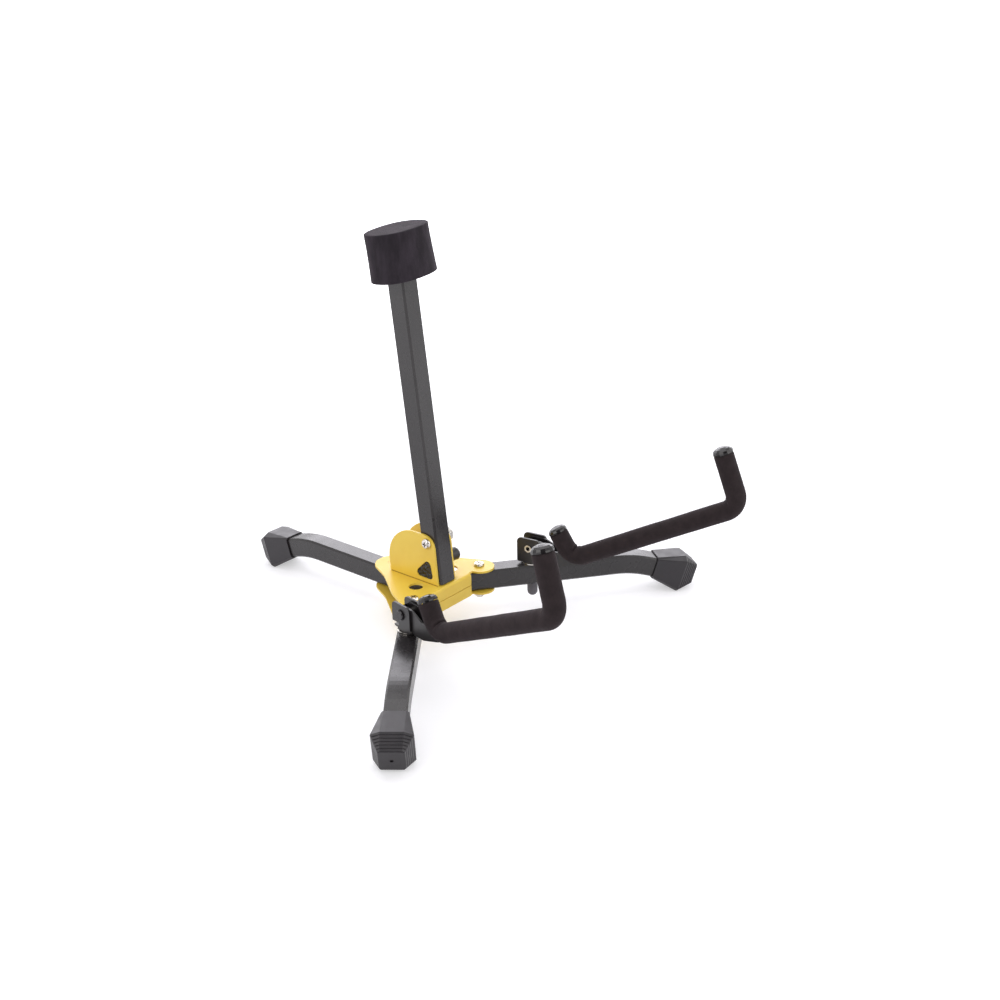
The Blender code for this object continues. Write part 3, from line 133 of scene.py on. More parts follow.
def grain(tree, size, detail=2.0, kind="ShaderNodeTexNoise", stretch=None):
    """A pattern in object coordinates whose features have this size."""
    place = add(tree, "ShaderNodeTexCoord").outputs["Object"]
    if stretch:
        scaled = add(tree, "ShaderNodeMapping", {"Vector": place}, {"Scale": stretch})
        place = scaled.outputs["Vector"]
    made = add(tree, kind, {"Vector": place}, {"Scale": per_metre(size)})
    if "Detail" in made.inputs:
        made.inputs["Detail"].default_value = detail
    return made


def ramp(tree, source, stops):
    """Colours spread along a pattern's values."""
    made = add(tree, "ShaderNodeValToRGB", {"Fac": source})
    band = made.color_ramp.elements
    while len(band) < len(stops):
        band.new(0.5)
    for element, (place, shade) in zip(band, stops):
        element.position = place
        element.color = shade
    return made.outputs["Color"]


def spread(tree, source, low, high, first=0.3, last=0.7):
    """A pattern's middle values spread between two numbers."""
    ends = {"From Min": first, "From Max": last, "To Min": low, "To Max": high}
    return add(tree, "ShaderNodeMapRange", {"Value": source}, ends).outputs["Result"]


def emboss(tree, shader, heights):
    """Bump from one or more patterns, each (height output, depth in metres, strength)."""
    normal = None
    for height, depth, strength in heights:
        links = {"Height": height}
        if normal:
            links["Normal"] = normal
        made = add(tree, "ShaderNodeBump", links, {"Distance": depth, "Strength": strength})
        normal = made.outputs["Normal"]
    tree.links.new(normal, shader.inputs["Normal"])


def powder_coat(name, light, dark, rough, peel, fold=None):
    """Polyester powder baked on steel: even colour, soft gloss, fine orange peel.

    A fold is (X either side, Z, first Y, last Y) of a sharp bend, along which a thin dark
    stripe of painted shade stands for the shadow in the crease."""
    paint, tree, shader = start(name)
    cloud = grain(tree, 22 * MM, 3.0).outputs["Fac"]
    colour = ramp(tree, cloud, [(0.35, dark), (0.65, light)])
    if fold:
        # Painted shade: a thin dark stripe along the fold stands for the shadow in the crease.
        links = {"Factor": near_fold(tree, *fold), 6: colour}
        crease_shade = add(tree, "ShaderNodeMix", links, {7: linear("8A6414")}, data_type="RGBA")
        colour = crease_shade.outputs[2]
    tree.links.new(colour, shader.inputs["Base Color"])
    handled = grain(tree, 9 * MM, 1.0).outputs["Fac"]
    tree.links.new(spread(tree, handled, rough - 0.03, rough + 0.03), shader.inputs["Roughness"])
    shader.inputs["IOR"].default_value = 1.52
    wave = grain(tree, 4 * MM, 0.0).outputs["Fac"]
    emboss(tree, shader, [(wave, peel, 0.4)])
    return paint


def reckon(tree, operation, source, number=None):
    """The result of one sum on a pattern, with a fixed second number if it needs one."""
    fixed = None if number is None else {1: number}
    return add(tree, "ShaderNodeMath", {0: source}, fixed, operation=operation).outputs[0]


def near_fold(tree, x, z, first, last):
    """One on two lines along Y at this X either side and this Z, else zero."""
    place = add(tree, "ShaderNodeTexCoord").outputs["Object"]
    parts = add(tree, "ShaderNodeSeparateXYZ", {"Vector": place}).outputs
    across = reckon(tree, "SUBTRACT", reckon(tree, "ABSOLUTE", parts["X"]), x)
    above = reckon(tree, "SUBTRACT", parts["Z"], z)
    beyond = reckon(tree, "SUBTRACT", parts["Y"], (first + last) / 2)
    beyond = reckon(tree, "SUBTRACT", reckon(tree, "ABSOLUTE", beyond), (last - first) / 2)
    beyond = reckon(tree, "MAXIMUM", beyond, 0.0)
    apart = add(tree, "ShaderNodeCombineXYZ", {"X": across, "Y": above, "Z": beyond})
    links = {0: apart.outputs["Vector"]}
    reach = add(tree, "ShaderNodeVectorMath", links, operation="LENGTH").outputs["Value"]
    return spread(tree, reach, 0.85, 0.0, 0.2 * MM, 0.7 * MM)


def part_plated_rivet(name, middle):
    """A steel rivet: blackened formed head outboard, bright nickel tail inboard."""
    paint, tree, shader = start(name)
    place = add(tree, "ShaderNodeTexCoord").outputs["Object"]
    across = add(tree, "ShaderNodeSeparateXYZ", {"Vector": place}).outputs["X"]
    across = reckon(tree, "ABSOLUTE", across)
    black = spread(tree, across, 0.0, 1.0, middle - 0.2 * MM, middle + 0.2 * MM)
    haze = grain(tree, 1.8 * MM, 3.0).outputs["Fac"]
    bright = ramp(tree, haze, [(0.35, linear("B9B4AE")), (0.65, linear("E4E0DA"))])
    dark = ramp(tree, haze, [(0.35, linear("242124")), (0.65, linear("2C292C"))])
    links = {"Factor": black, 6: bright, 7: dark}
    shades = add(tree, "ShaderNodeMix", links, data_type="RGBA")
    tree.links.new(shades.outputs[2], shader.inputs["Base Color"])
    tree.links.new(spread(tree, black, 1.0, 0.2, 0.0, 1.0), shader.inputs["Metallic"])
    tree.links.new(spread(tree, haze, 0.16, 0.3), shader.inputs["Roughness"])
    emboss(tree, shader, [(haze, 0.02 * MM, 0.3)])
    return paint


def nickel_plate(name):
    """Bright nickel plating on turned steel: clear reflections with faint lathe marks."""
    paint, tree, shader = start(name)
    shader.inputs["Metallic"].default_value = 1.0
    haze = grain(tree, 1.8 * MM, 3.0).outputs["Fac"]
    shades = [(0.35, linear("B9B4AE")), (0.65, linear("E4E0DA"))]
    tree.links.new(ramp(tree, haze, shades), shader.inputs["Base Color"])
    tree.links.new(spread(tree, haze, 0.14, 0.27), shader.inputs["Roughness"])
    emboss(tree, shader, [(haze, 0.02 * MM, 0.3)])
    return paint


def moulded_plastic(name, light, dark, rough):
    """Injection-moulded plastic: smooth skin with slight, slow sinks."""
    paint, tree, shader = start(name)
    flow = grain(tree, 6 * MM, 0.0).outputs["Fac"]
    tree.links.new(ramp(tree, flow, [(0.35, dark), (0.65, light)]), shader.inputs["Base Color"])
    tree.links.new(spread(tree, flow, rough - 0.02, rough + 0.02), shader.inputs["Roughness"])
    shader.inputs["IOR"].default_value = 1.5
    emboss(tree, shader, [(flow, 0.02 * MM, 0.3)])
    return paint


def lumpy_casting(name, light, dark):
    """Glossy cast plastic with rounded lumps a few millimetres across that glint, their crowns
    lighter with a painted highlight.
    """
    paint, tree, shader = start(name)
    lumps = grain(tree, 3.4 * MM, kind="ShaderNodeTexVoronoi").outputs["Distance"]
    # Painted highlight: the lighter, bluish black sits on each lump's raised crown and stands for
    # its glint.
    tree.links.new(ramp(tree, lumps, [(0.2, light), (0.7, dark)]), shader.inputs["Base Color"])
    tree.links.new(spread(tree, lumps, 0.1, 0.2), shader.inputs["Roughness"])
    shader.inputs["IOR"].default_value = 1.55
    emboss(tree, shader, [(lumps, -1.6 * MM, 1.0)])
    return paint


def moulded_rubber(name, light, dark):
    """Moulded rubber: near-black, a low waxy gloss, and a fine eroded mould skin."""
    paint, tree, shader = start(name)
    bloom = grain(tree, 7 * MM, 4.0).outputs["Fac"]
    tree.links.new(ramp(tree, bloom, [(0.35, dark), (0.68, light)]), shader.inputs["Base Color"])
    tree.links.new(spread(tree, bloom, 0.36, 0.5), shader.inputs["Roughness"])
    shader.inputs["IOR"].default_value = 1.52
    shader.inputs["Sheen Weight"].default_value = 0.06
    shader.inputs["Sheen Roughness"].default_value = 0.5
    skin = grain(tree, 0.5 * MM, 2.0).outputs["Fac"]
    emboss(tree, shader, [(bloom, 0.06 * MM, 0.3), (skin, 0.03 * MM, 0.5)])
    return paint


def closed_cell_foam(name, light, dark, cell, streak):
    """Closed-cell rubber foam: matte skin, pin-sized cells and a soft fuzzy sheen."""
    paint, tree, shader = start(name)
    mottle = grain(tree, 6 * MM, 4.0, stretch=streak).outputs["Fac"]
    tree.links.new(ramp(tree, mottle, [(0.32, dark), (0.7, light)]), shader.inputs["Base Color"])
    cells = grain(tree, cell, kind="ShaderNodeTexVoronoi").outputs["Distance"]
    tree.links.new(spread(tree, cells, 0.98, 0.86, 0.0, 0.6), shader.inputs["Roughness"])
    shader.inputs["IOR"].default_value = 1.42
    shader.inputs["Specular IOR Level"].default_value = 0.28
    shader.inputs["Sheen Weight"].default_value = 0.12
    shader.inputs["Sheen Roughness"].default_value = 0.6
    shader.inputs["Sheen Tint"].default_value = linear("8A7E85")
    emboss(tree, shader, [(mottle, 0.2 * MM, 0.5), (cells, 0.14 * MM, 0.6)])
    return paint


# Shapes


def finished(bm, name, paint, body, nodes):
    """A smooth mesh piece that rides on a body and stands for its CAD nodes."""
    bmesh.ops.remove_doubles(bm, verts=bm.verts, dist=1e-6)
    bmesh.ops.recalc_face_normals(bm, faces=bm.faces)
    for face in bm.faces:
        face.smooth = True
    mesh = bpy.data.meshes.new(name)
    bm.to_mesh(mesh)
    bm.free()
    piece = bpy.data.objects.new(name, mesh)
    bpy.context.scene.collection.objects.link(piece)
    mesh.materials.append(paint)
    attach(piece, body)
    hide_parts(*nodes)
    return piece


def repaint(names, paint):
    """Give CAD nodes a material."""
    for name in names:
        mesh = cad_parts[name].data
        mesh.materials.clear()
        mesh.materials.append(paint)


def both(*parts):
    """The left and right names of handed nodes."""
    return [f"{hand}_{part}" for hand in SIDES for part in parts]


def corner_arc(before, corner, after, radius, steps):
    """Points that round a corner of a path."""
    back = (before - corner).normalized()
    ahead = (after - corner).normalized()
    half = back.angle(ahead) / 2
    reach = radius / math.tan(half)
    centre = corner + (back + ahead).normalized() * radius / math.sin(half)
    first = corner + back * reach - centre
    last = corner + ahead * reach - centre
    turns = [first.slerp(last, step / steps).normalized() for step in range(steps + 1)]
    return [centre + turn * radius for turn in turns]


def even_path(points, spacing):
    """The same path with points at an even spacing."""
    lengths = [0.0]
    for a, b in zip(points, points[1:]):
        lengths.append(lengths[-1] + (b - a).length)
    count = max(2, round(lengths[-1] / spacing))
    made = []
    index = 0
    for step in range(count + 1):
        reach = lengths[-1] * step / count
        while index < len(points) - 2 and lengths[index + 1] < reach:
            index += 1
        share = (reach - lengths[index]) / (lengths[index + 1] - lengths[index])
        made.append(points[index].lerp(points[index + 1], share))
    return made


def yoke_frame(sign):
    """Elbow, bar direction, up direction and far elbow of one cradle at rest."""
    sizes = bpy.context.scene.guitar_stand_sizes
    elbow = Vector((sign * sizes.elbow[0], sizes.elbow[1], sizes.elbow[2]))
    bar = Vector((sign * sizes.bar[0], sizes.bar[1], sizes.bar[2])).normalized()
    up = (Vector((0, 0, 1)) - bar * bar.z).normalized()
    return elbow, bar, up, elbow + bar * sizes.bar_length


def horn_tips(sign):
    """The rod's two tips and the directions in which they point."""
    sizes = bpy.context.scene.guitar_stand_sizes
    elbow, bar, up, far = yoke_frame(sign)
    inner = up * math.cos(sizes.inner_lean) - bar * math.sin(sizes.inner_lean)
    outer = up * math.cos(sizes.outer_lean) + bar * math.sin(sizes.outer_lean)
    return {
        "inner": (elbow + inner * sizes.inner_horn, inner),
        "outer": (far + outer * sizes.outer_horn, outer),
    }


def ring_frames(path):
    """A matrix at each path point whose Z runs along the path, turning as little as it can."""
    frames = []
    turn = (path[1] - path[0]).to_track_quat("Z", "Y")
    for index, point in enumerate(path):
        ahead = path[min(index + 1, len(path) - 1)] - path[max(index - 1, 0)]
        now = turn @ Vector((0, 0, 1))
        turn = now.rotation_difference(ahead) @ turn
        frames.append(Matrix.Translation(point) @ turn.to_matrix().to_4x4())
    return frames


def extruded_ring(bm, edges, change):
    """Extrude a ring of edges, move the new ring by a matrix, and give its edges."""
    made = bmesh.ops.extrude_edge_only(bm, edges=edges)["geom"]
    verts = [item for item in made if isinstance(item, bmesh.types.BMVert)]
    bmesh.ops.transform(bm, matrix=change, verts=verts)
    return [item for item in made if isinstance(item, bmesh.types.BMEdge)]


def swept_tube(frames, radii, bore, segments):
    """A hollow tube along the frames, with its own radius at each and one bore."""
    bm = bmesh.new()
    bmesh.ops.create_circle(bm, segments=segments, radius=1.0)
    count = len(frames) - 1
    first = list(bm.edges)
    outer = extruded_ring(bm, first, Matrix.Translation((0, 0, count)))
    rim = extruded_ring(bm, outer, Matrix.Diagonal((0.5, 0.5, 1.0, 1.0)))
    last = extruded_ring(bm, rim, Matrix.Translation((0, 0, -count)))
    bmesh.ops.bridge_loops(bm, edges=first + last)
    long = [edge for edge in bm.edges if abs(edge.verts[0].co.z - edge.verts[1].co.z) > 0.5]
    bmesh.ops.subdivide_edges(bm, edges=long, cuts=count - 1, use_grid_fill=True)
    for vertex in bm.verts:
        station = round(vertex.co.z)
        spoke = Vector((vertex.co.x, vertex.co.y, 0))
        reach = radii[station] if spoke.length > 0.75 else bore
        vertex.co = frames[station] @ (spoke.normalized() * reach)
    return bm


def grown_node(node, gap):
    """A closed copy of a CAD node, larger by this gap all round."""
    bm = bmesh.new()
    bm.from_mesh(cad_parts[node].data)
    bmesh.ops.remove_doubles(bm, verts=bm.verts, dist=1e-6)
    bmesh.ops.recalc_face_normals(bm, faces=bm.faces)
    for vertex in bm.verts:
        vertex.co += vertex.normal * gap
    return bm


def carve(piece, bm):
    """Cut a closed shape out of a piece."""
    mesh = bpy.data.meshes.new("cutter")
    bm.to_mesh(mesh)
    bm.free()
    cutter = bpy.data.objects.new("cutter", mesh)
    bpy.context.scene.collection.objects.link(cutter)
    trim = piece.modifiers.new("clear", "BOOLEAN")
    trim.operation = "DIFFERENCE"
    trim.solver = "EXACT"
    trim.use_self = True
    trim.object = cutter
    graph = bpy.context.evaluated_depsgraph_get()
    carved = bpy.data.meshes.new_from_object(piece.evaluated_get(graph))
    piece.modifiers.clear()
    piece.data = carved
    bpy.data.objects.remove(cutter)
    bpy.data.meshes.remove(mesh)


# Sizes and colours that a user would change


class GuitarStandSizes(bpy.types.PropertyGroup):
    """Places and sizes of the soft pieces, in metres and radians."""

    foam_radius: FloatProperty(
        name="Foam Radius", description="Radius of the cradle foam",
        default=7.4 * MM, unit="LENGTH",
    )
    foam_bore: FloatProperty(
        name="Foam Bore", description="Radius of the hole for the rod",
        default=4.2 * MM, unit="LENGTH",
    )
    cap_height: FloatProperty(
        name="Cap Height", description="Length of the domed end caps",
        default=5.0 * MM, unit="LENGTH",
    )
    bend_radius: FloatProperty(
        name="Bend Radius", description="Radius of the rod's bends",
        default=12.0 * MM, unit="LENGTH",
    )
    bar_length: FloatProperty(
        name="Bar Length", description="Length between the rod's corners",
        default=144.5 * MM, unit="LENGTH",
    )
    inner_horn: FloatProperty(
        name="Inner Horn", description="Length of the inner horn",
        default=28.6 * MM, unit="LENGTH",
    )
    outer_horn: FloatProperty(
        name="Outer Horn", description="Length of the outer horn",
        default=46.0 * MM, unit="LENGTH",
    )
    inner_lean: FloatProperty(
        name="Inner Lean", description="Lean of the inner horn",
        default=math.radians(3.6), unit="ROTATION",
    )
    outer_lean: FloatProperty(
        name="Outer Lean", description="Lean of the outer horn",
        default=math.radians(7.1), unit="ROTATION",
    )
    elbow: FloatVectorProperty(
        name="Elbow", description="Corner of the right cradle by its arm",
        default=(77.04 * MM, -67.02 * MM, 44.33 * MM), subtype="TRANSLATION",
    )
    bar: FloatVectorProperty(
        name="Bar", description="Direction of the right cradle's bar",
        default=(0.2082, -0.8672, 0.4524), subtype="DIRECTION",
    )


class GuitarStandColours(bpy.types.PropertyGroup):
    """Colours of the finishes, as sRGB hex."""

    hub: StringProperty(name="Hub", description="Colour of the hub's coating", default="EACA4D")
    hub_dark: StringProperty(name="Hub Shade", description="Darker patches of it", default="E6C345")
    tube: StringProperty(name="Tube", description="Colour of the tube's coating", default="282526")
    foam: StringProperty(name="Foam", description="Colour of the cradle foam", default="2C2425")
    head: StringProperty(name="Head", description="Colour of the head foam", default="332D34")
    rubber: StringProperty(name="Rubber", description="Colour of the boots", default="241F24")


class GUITAR_STAND_OT_metalwork(bpy.types.Operator):
    """Coat the hub, tubes, brackets and small steel parts"""

    bl_idname = "guitar_stand.metalwork"
    bl_label = "Metalwork"

    def execute(self, context):
        colours = context.scene.guitar_stand_colours
        hub = powder_coat(
            "Powder coat yellow", linear(colours.hub), linear(colours.hub_dark), 0.36, 0.02 * MM,
            fold=FOLD,
        )
        tube = powder_coat(
            "Powder coat black", linear(colours.tube), linear("242122"), 0.27, 0.002 * MM
        )
        enamel = powder_coat(
            "Satin black enamel", linear("232122"), linear("1D1B1C"), 0.34, 0.01 * MM
        )
        repaint(["hub_top_plate", "hub_bottom_plate"], hub)
        repaint(["rear_leg_rivet_front", "rear_leg_rivet_back"], hub)
        repaint(["rear_leg", "front_left_leg", "front_right_leg", "upright_tube"], tube)
        repaint(both("bracket", "arm", "rod") + ["lock_barrel"], enamel)
        steel = nickel_plate("Nickel plate")
        screws = ["upright_bolt", "upright_nut", "lock_pin", "lock_spring"]
        screws += both("leg_bolt", "leg_nut", "leg_sleeve", "post", "bracket_washer")
        repaint(screws, steel)
        low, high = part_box("right_bracket_rivet")
        repaint(both("bracket_rivet"), part_plated_rivet("Blackened rivet", (low[0] + high[0]) / 2))
        return {"FINISHED"}


class GUITAR_STAND_OT_mouldings(bpy.types.Operator):
    """Finish the plastic plugs, caps, knob and insert"""

    bl_idname = "guitar_stand.mouldings"
    bl_label = "Mouldings"

    def execute(self, context):
        nylon = moulded_plastic("Nylon 6", linear("D8D4CA"), linear("CFCABE"), 0.42)
        repaint(["upright_bush"], nylon)
        grey = moulded_plastic("Grey vinyl", linear("5A575B"), linear("504D51"), 0.45)
        repaint(both("post_cap"), grey)
        black = moulded_plastic("Black ABS", linear("1C1A1B"), linear("171516"), 0.3)
        repaint(["lock_knob", "upright_plug"], black)
        gloss = moulded_plastic("Polished black ABS", linear("141012"), linear("100D0F"), 0.2)
        repaint(both("inner_cap", "outer_cap"), gloss)
        # The lighter of these two colours is a painted highlight on the lumps' crowns.
        cast = lumpy_casting("Cast black ABS", linear("16131A"), linear("0A080B"))
        repaint(["lock_insert"], cast)
        return {"FINISHED"}


class GUITAR_STAND_OT_boots(bpy.types.Operator):
    """Finish the three moulded rubber boots"""

    bl_idname = "guitar_stand.boots"
    bl_label = "Boots"

    def execute(self, context):
        colours = context.scene.guitar_stand_colours
        rubber = moulded_rubber("Moulded rubber", linear(colours.rubber), linear("1D191E"))
        repaint(["rear_boot", "front_left_boot", "front_right_boot"], rubber)
        return {"FINISHED"}


class GUITAR_STAND_OT_cradle_foam(bpy.types.Operator):
    """Build the foam sleeves on the two cradles"""

    bl_idname = "guitar_stand.cradle_foam"
    bl_label = "Cradle Foam"

    def execute(self, context):
        sizes = context.scene.guitar_stand_sizes
        colours = context.scene.guitar_stand_colours
        foam = closed_cell_foam(
            "Nitrile foam", linear(colours.foam), linear("231C1D"), 0.9 * MM, (1.0, 1.0, 1.0)
        )
        spacing, skin, tuck, clear = 0.8 * MM, 0.12 * MM, 0.5 * MM, 0.25 * MM
        short = sizes.cap_height + 0.3 * MM
        for hand, sign in SIDES.items():
            elbow, bar, up, far = yoke_frame(sign)
            tips = horn_tips(sign)
            inner = tips["inner"][0] - tips["inner"][1] * short
            outer = tips["outer"][0] - tips["outer"][1] * short
            route = [inner]
            route += corner_arc(inner, elbow, far, sizes.bend_radius, 12)
            route += corner_arc(elbow, far, outer, sizes.bend_radius, 12)
            route.append(outer)
            path = even_path(route, spacing)
            frames = ring_frames(path)
            radii = []
            for index in range(len(path)):
                end = min(index, len(path) - 1 - index)
                drawn_in = tuck * max(0.0, 1 - end / 1.5) ** 2
                radii.append(sizes.foam_radius - skin - drawn_in)
            bm = swept_tube(frames, radii, sizes.foam_bore, 48)
            bends = (
                (elbow, (bar - tips["inner"][1]).normalized()),
                (far, (bar + tips["outer"][1]).normalized()),
            )
            soften(bm, path, bends, sizes, sign)
            piece = finished(
                bm, f"{hand}_foam_sleeve_dressed", foam, f"{hand}_yoke",
                [f"{hand}_foam_sleeve"],
            )
            carve(piece, grown_node(f"{hand}_arm", clear))
        return {"FINISHED"}


def soften(bm, path, corners, sizes, seed):
    """Uneven foam: a slow wobble along it, and a sharp crease inside each bend.

    A corner is a pair of its point and the direction along the rod at mid bend."""
    wobble, ripple, fold, swell = 0.14 * MM, 0.05 * MM, 2.0 * MM, 0.4 * MM
    for vertex in bm.verts:
        point = min(path, key=lambda place: (place - vertex.co).length_squared)
        spoke = vertex.co - point
        if spoke.length < sizes.foam_radius * 0.75:
            continue
        spoke.normalize()
        shift = wobble * noise.noise(vertex.co * 55 + Vector((seed * 7, 0, 0)))
        shift += ripple * noise.noise(vertex.co * 260)
        for corner, along in corners:
            inward = spoke.dot((point - corner).normalized())
            slide = abs((point - corner).dot(along))
            if (point - corner).length < sizes.bend_radius and inward > 0:
                crease = math.exp(-((slide / (1.3 * MM)) ** 2))
                bulge = math.exp(-(((slide - 4 * MM) / (2 * MM)) ** 2))
                shift += inward ** 2 * (swell * bulge - fold * crease)
        vertex.co += spoke * shift


class GUITAR_STAND_OT_head(bpy.types.Operator):
    """Build the oval foam rest on top of the upright"""

    bl_idname = "guitar_stand.head"
    bl_label = "Head"

    def execute(self, context):
        colours = context.scene.guitar_stand_colours
        foam = closed_cell_foam(
            "Moulded foam", linear(colours.head), linear("201C21"), 0.7 * MM, (1.0, 1.0, 0.35)
        )
        upright = Matrix.Translation(HINGE) @ Matrix.Rotation(-UPRIGHT_LEAN, 4, "X")
        seat = Matrix.Translation(HEAD_MIDDLE) @ Matrix.Rotation(-HEAD_TILT, 4, "Y")
        bm = oval_drum(*HEAD_HALF, HEAD_RIM)
        bmesh.ops.transform(bm, matrix=upright @ seat, verts=bm.verts)
        piece = finished(bm, "foam_head_dressed", foam, "upright", ["foam_head"])
        carve(piece, grown_node("upright_plug", 0.3 * MM))
        carve(piece, tube_space(upright))
        return {"FINISHED"}


def oval_drum(half_x, half_y, half_z, soft):
    """A full oval foam block, narrower at the top, with crisp rims and uneven skin."""
    bm = bmesh.new()
    fullness, taper, waist, crown, pit = 2.3, 0.02, 0.012, 0.35 * MM, 0.2 * MM
    rows = 16
    ring = bmesh.ops.create_circle(bm, segments=96, radius=1.0)["verts"]
    for vertex in ring:
        power = abs(vertex.co.x) ** fullness + abs(vertex.co.y) ** fullness
        vertex.co /= power ** (1 / fullness)
    rim = 1.0 - soft / half_z
    stations = [(0.985, -1.0), (1.0, -rim)]
    for row in range(1, rows):
        height = rim * (2 * row / rows - 1)
        stations.append((1.0 - waist * (1 - height * height), height))
    stations.append((1.0, rim))
    stations += [(share, 1.0) for share in (0.98, 0.8, 0.6, 0.4, 0.2)]
    shapes = [
        Matrix.Translation((0, 0, height * half_z))
        @ Matrix.Scale(r * (1 - taper * height), 4)
        @ Matrix.Diagonal((half_x, half_y, 1, 1))
        for r, height in stations
    ]
    bmesh.ops.transform(bm, matrix=shapes[0], verts=ring)
    edges = bottom = list(bm.edges)
    for before, after in zip(shapes, shapes[1:]):
        edges = extruded_ring(bm, edges, after @ before.inverted())
    bmesh.ops.edgeloop_fill(bm, edges=edges)
    bmesh.ops.edgeloop_fill(bm, edges=bottom)
    for vertex in bm.verts:
        flat = Vector((vertex.co.x / half_x, vertex.co.y / half_y))
        if vertex.co.z > 0:
            vertex.co.z -= crown * (1 - flat.length_squared)
        dent = pit * abs(noise.noise(vertex.co * 45))
        vertex.co -= Vector((vertex.co.x, vertex.co.y, 0)).normalized() * dent
    return bm


def tube_space(place):
    """The square space that the upright takes up in the foam head."""
    bm = bmesh.new()
    bmesh.ops.create_cube(bm, size=2 * TUBE_HALF)
    bmesh.ops.scale(bm, vec=(1, 1, SOCKET_DEPTH / 2 / TUBE_HALF), verts=bm.verts)
    bmesh.ops.translate(bm, vec=(0, 0, TUBE_TOP - SOCKET_DEPTH / 2), verts=bm.verts)
    bmesh.ops.transform(bm, matrix=place, verts=bm.verts)
    return bm


class GUITAR_STAND_OT_lock_spring(bpy.types.Operator):
    """Wind the lock's coil spring at rest, as it sits before the knob is pulled and shortens it"""

    bl_idname = "guitar_stand.lock_spring"
    bl_label = "Lock Spring"

    def execute(self, context):
        steps = 24 * SPRING_TURNS
        low, high = (Vector(corner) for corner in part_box("lock_spring"))
        centre = Vector(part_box("lock_pin")[0]).lerp(Vector(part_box("lock_pin")[1]), 0.5)
        run = high.x - low.x - 2 * SPRING_WIRE
        bm = bmesh.new()
        bmesh.ops.create_circle(bm, segments=12, radius=SPRING_WIRE)
        begin = Vector((low.x + SPRING_WIRE, centre.y + SPRING_COIL, centre.z))
        bmesh.ops.translate(bm, vec=begin, verts=bm.verts)
        bmesh.ops.spin(
            bm, geom=bm.verts[:] + bm.edges[:], cent=centre, axis=(1, 0, 0),
            dvec=(run / steps, 0, 0), angle=2 * math.pi * SPRING_TURNS, steps=steps,
            use_merge=False, use_duplicate=False,
        )
        bmesh.ops.edgeloop_fill(bm, edges=[edge for edge in bm.edges if edge.is_boundary])
        steel = bpy.data.materials["Nickel plate"]
        piece = finished(bm, "lock_spring_wound", steel, "hub", ["lock_spring"])
        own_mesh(piece)
        return {"FINISHED"}


class GUITAR_STAND_OT_studio(bpy.types.Operator):
    """Lay the pale floor, the soft lights and the camera"""

    bl_idname = "guitar_stand.studio"
    bl_label = "Studio"

    def execute(self, context):
        scene = context.scene
        lay_floor()
        light_studio(scene)
        place_camera(scene)
        scene.view_settings.view_transform = "Standard"
        return {"FINISHED"}


def seen_directly(tree):
    """One for rays from the camera and for mirror and glass rays, else zero."""
    path = add(tree, "ShaderNodeLightPath").outputs
    total = path["Is Camera Ray"]
    for kind in ("Is Glossy Ray", "Is Transmission Ray"):
        links = {0: total, 1: path[kind]}
        total = add(tree, "ShaderNodeMath", links, operation="MAXIMUM").outputs[0]
    return total


def lay_floor():
    """A white paper floor that keeps the stand's soft shadow and fades to white."""
    bm = bmesh.new()
    bmesh.ops.create_grid(bm, x_segments=8, y_segments=8, size=30.0)
    mesh = bpy.data.meshes.new("floor")
    bm.to_mesh(mesh)
    bm.free()
    floor = bpy.data.objects.new("floor", mesh)
    bpy.context.scene.collection.objects.link(floor)
    paint, tree, shader = start("White paper")
    shader.inputs["Roughness"].default_value = 0.9
    shader.inputs["Specular IOR Level"].default_value = 0.1
    fibre = grain(tree, 40 * MM, 2.0).outputs["Fac"]
    shades = [(0.3, linear("D2D2D4")), (0.7, linear("D6D6D8"))]
    tree.links.new(ramp(tree, fibre, shades), shader.inputs["Base Color"])
    place = add(tree, "ShaderNodeTexCoord").outputs["Object"]
    reach = add(tree, "ShaderNodeVectorMath", {0: place}, operation="LENGTH").outputs["Value"]
    fade = spread(tree, reach, 0.45, 1.0, 0.3, 1.2)
    glow = add(tree, "ShaderNodeMath", {0: fade, 1: seen_directly(tree)}, operation="MULTIPLY")
    shader.inputs["Emission Color"].default_value = (1, 1, 1, 1)
    tree.links.new(glow.outputs[0], shader.inputs["Emission Strength"])
    mesh.materials.append(paint)


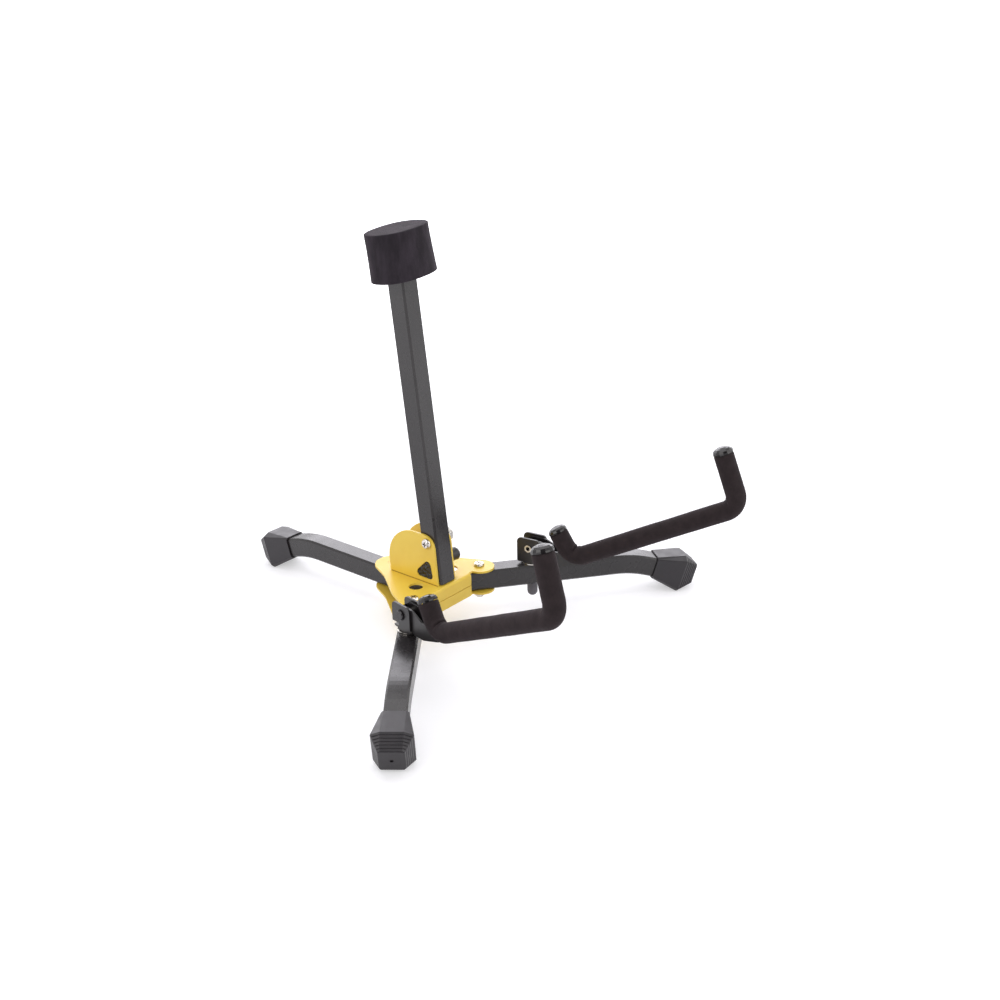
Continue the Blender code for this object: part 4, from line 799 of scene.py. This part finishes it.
def light_studio(scene):
    """An even white room, dimmer behind the camera, with five soft panels round the stand."""
    world = bpy.data.worlds.new("Studio")
    world.use_nodes = True
    tree = world.node_tree
    tree.nodes.clear()
    room = add(tree, "ShaderNodeBackground", None, {"Color": (0.96, 0.95, 1.0, 1), "Strength": 0.6})
    ahead = add(tree, "ShaderNodeTexCoord").outputs["Generated"]
    toward = {1: (-0.7, -0.6, 0.39)}
    front = add(tree, "ShaderNodeVectorMath", {0: ahead}, toward, operation="DOT_PRODUCT")
    dim = spread(tree, front.outputs["Value"], 1.0, 0.15, 0.7, 0.92)
    camera = add(tree, "ShaderNodeLightPath").outputs["Is Camera Ray"]
    level = add(tree, "ShaderNodeMath", {0: dim, 1: camera}, operation="MAXIMUM").outputs[0]
    white = add(tree, "ShaderNodeBackground", {"Strength": level}, {"Color": (1, 1, 1, 1)})
    mix = add(
        tree, "ShaderNodeMixShader",
        {0: seen_directly(tree), 1: room.outputs[0], 2: white.outputs[0]},
    )
    add(tree, "ShaderNodeOutputWorld", {"Surface": mix.outputs[0]})
    scene.world = world
    lamps = (
        ("overhead", (0.1, 0.3, 1.7), (1.4, 1.4), 9.0, (1.0, 0.98, 1.0)),
        ("back_panel", (1.25, 1.05, 0.8), (2.4, 0.9), 21.0, (0.95, 0.93, 1.0)),
        ("right_panel", (1.6, -0.5, 0.8), (1.0, 1.0), 4.0, (1.0, 0.98, 0.96)),
        ("front_panel", (0.3, -1.7, 0.8), (1.2, 1.2), 9.0, (1.0, 0.98, 0.96)),
        ("left_panel", (-1.7, 0.2, 0.8), (1.2, 1.2), 11.0, (1.0, 0.98, 0.96)),
    )
    for name, spot, size, power, shade in lamps:
        lamp = bpy.data.lights.new(name, "AREA")
        lamp.shape = "RECTANGLE"
        lamp.size, lamp.size_y = size
        lamp.energy = power
        lamp.color = shade
        holder = bpy.data.objects.new(name, lamp)
        holder.location = spot
        aim = Vector((0, 0, 0.1)) - Vector(spot)
        holder.rotation_euler = aim.to_track_quat("-Z", "Y").to_euler()
        scene.collection.objects.link(holder)


def place_camera(scene):
    """The camera at the photograph's viewing angle."""
    azimuth, elevation, roll = -0.87669, 0.396209, -0.0172823
    right = Vector((math.cos(azimuth), math.sin(azimuth), 0))
    back = Vector((math.sin(azimuth) * math.cos(elevation),
                   -math.cos(azimuth) * math.cos(elevation), math.sin(elevation)))
    up = back.cross(right)
    across = right * math.cos(roll) + up * math.sin(roll)
    above = up * math.cos(roll) - right * math.sin(roll)
    lens = bpy.data.cameras.new("camera")
    lens.lens = 49.642
    lens.sensor_width = 36.0
    lens.clip_start = 0.01
    holder = bpy.data.objects.new("camera", lens)
    spot = Vector((-0.69537, -0.63853, 0.49556))
    turn = Matrix((across, above, back)).transposed()
    holder.matrix_world = Matrix.Translation(spot) @ turn.to_4x4()
    scene.collection.objects.link(holder)
    scene.camera = holder


class GUITAR_STAND_PT_panel(bpy.types.Panel):
    """The steps that dress the stand"""

    bl_label = "Guitar Stand"
    bl_space_type = "VIEW_3D"
    bl_region_type = "UI"
    bl_category = "Guitar Stand"

    def draw(self, context):
        for group in (context.scene.guitar_stand_sizes, context.scene.guitar_stand_colours):
            column = self.layout.column()
            for name in group.__annotations__:
                column.prop(group, name)
        for step in STEPS:
            self.layout.operator(step.bl_idname)


STEPS = (
    GUITAR_STAND_OT_metalwork,
    GUITAR_STAND_OT_mouldings,
    GUITAR_STAND_OT_boots,
    GUITAR_STAND_OT_cradle_foam,
    GUITAR_STAND_OT_head,
    GUITAR_STAND_OT_lock_spring,
    GUITAR_STAND_OT_studio,
)
CLASSES = (GuitarStandSizes, GuitarStandColours) + STEPS + (GUITAR_STAND_PT_panel,)


def register():
    for kind in CLASSES:
        bpy.utils.register_class(kind)
    bpy.types.Scene.guitar_stand_sizes = PointerProperty(type=GuitarStandSizes)
    bpy.types.Scene.guitar_stand_colours = PointerProperty(type=GuitarStandColours)


def unregister():
    del bpy.types.Scene.guitar_stand_sizes
    del bpy.types.Scene.guitar_stand_colours
    for kind in reversed(CLASSES):
        bpy.utils.unregister_class(kind)


def main():
    """Dress the stand and light it."""
    register()
    bpy.ops.guitar_stand.metalwork()
    bpy.ops.guitar_stand.mouldings()
    bpy.ops.guitar_stand.boots()
    bpy.ops.guitar_stand.cradle_foam()
    bpy.ops.guitar_stand.head()
    bpy.ops.guitar_stand.lock_spring()
    bpy.ops.guitar_stand.studio()


if __name__ == "__main__":
    main()
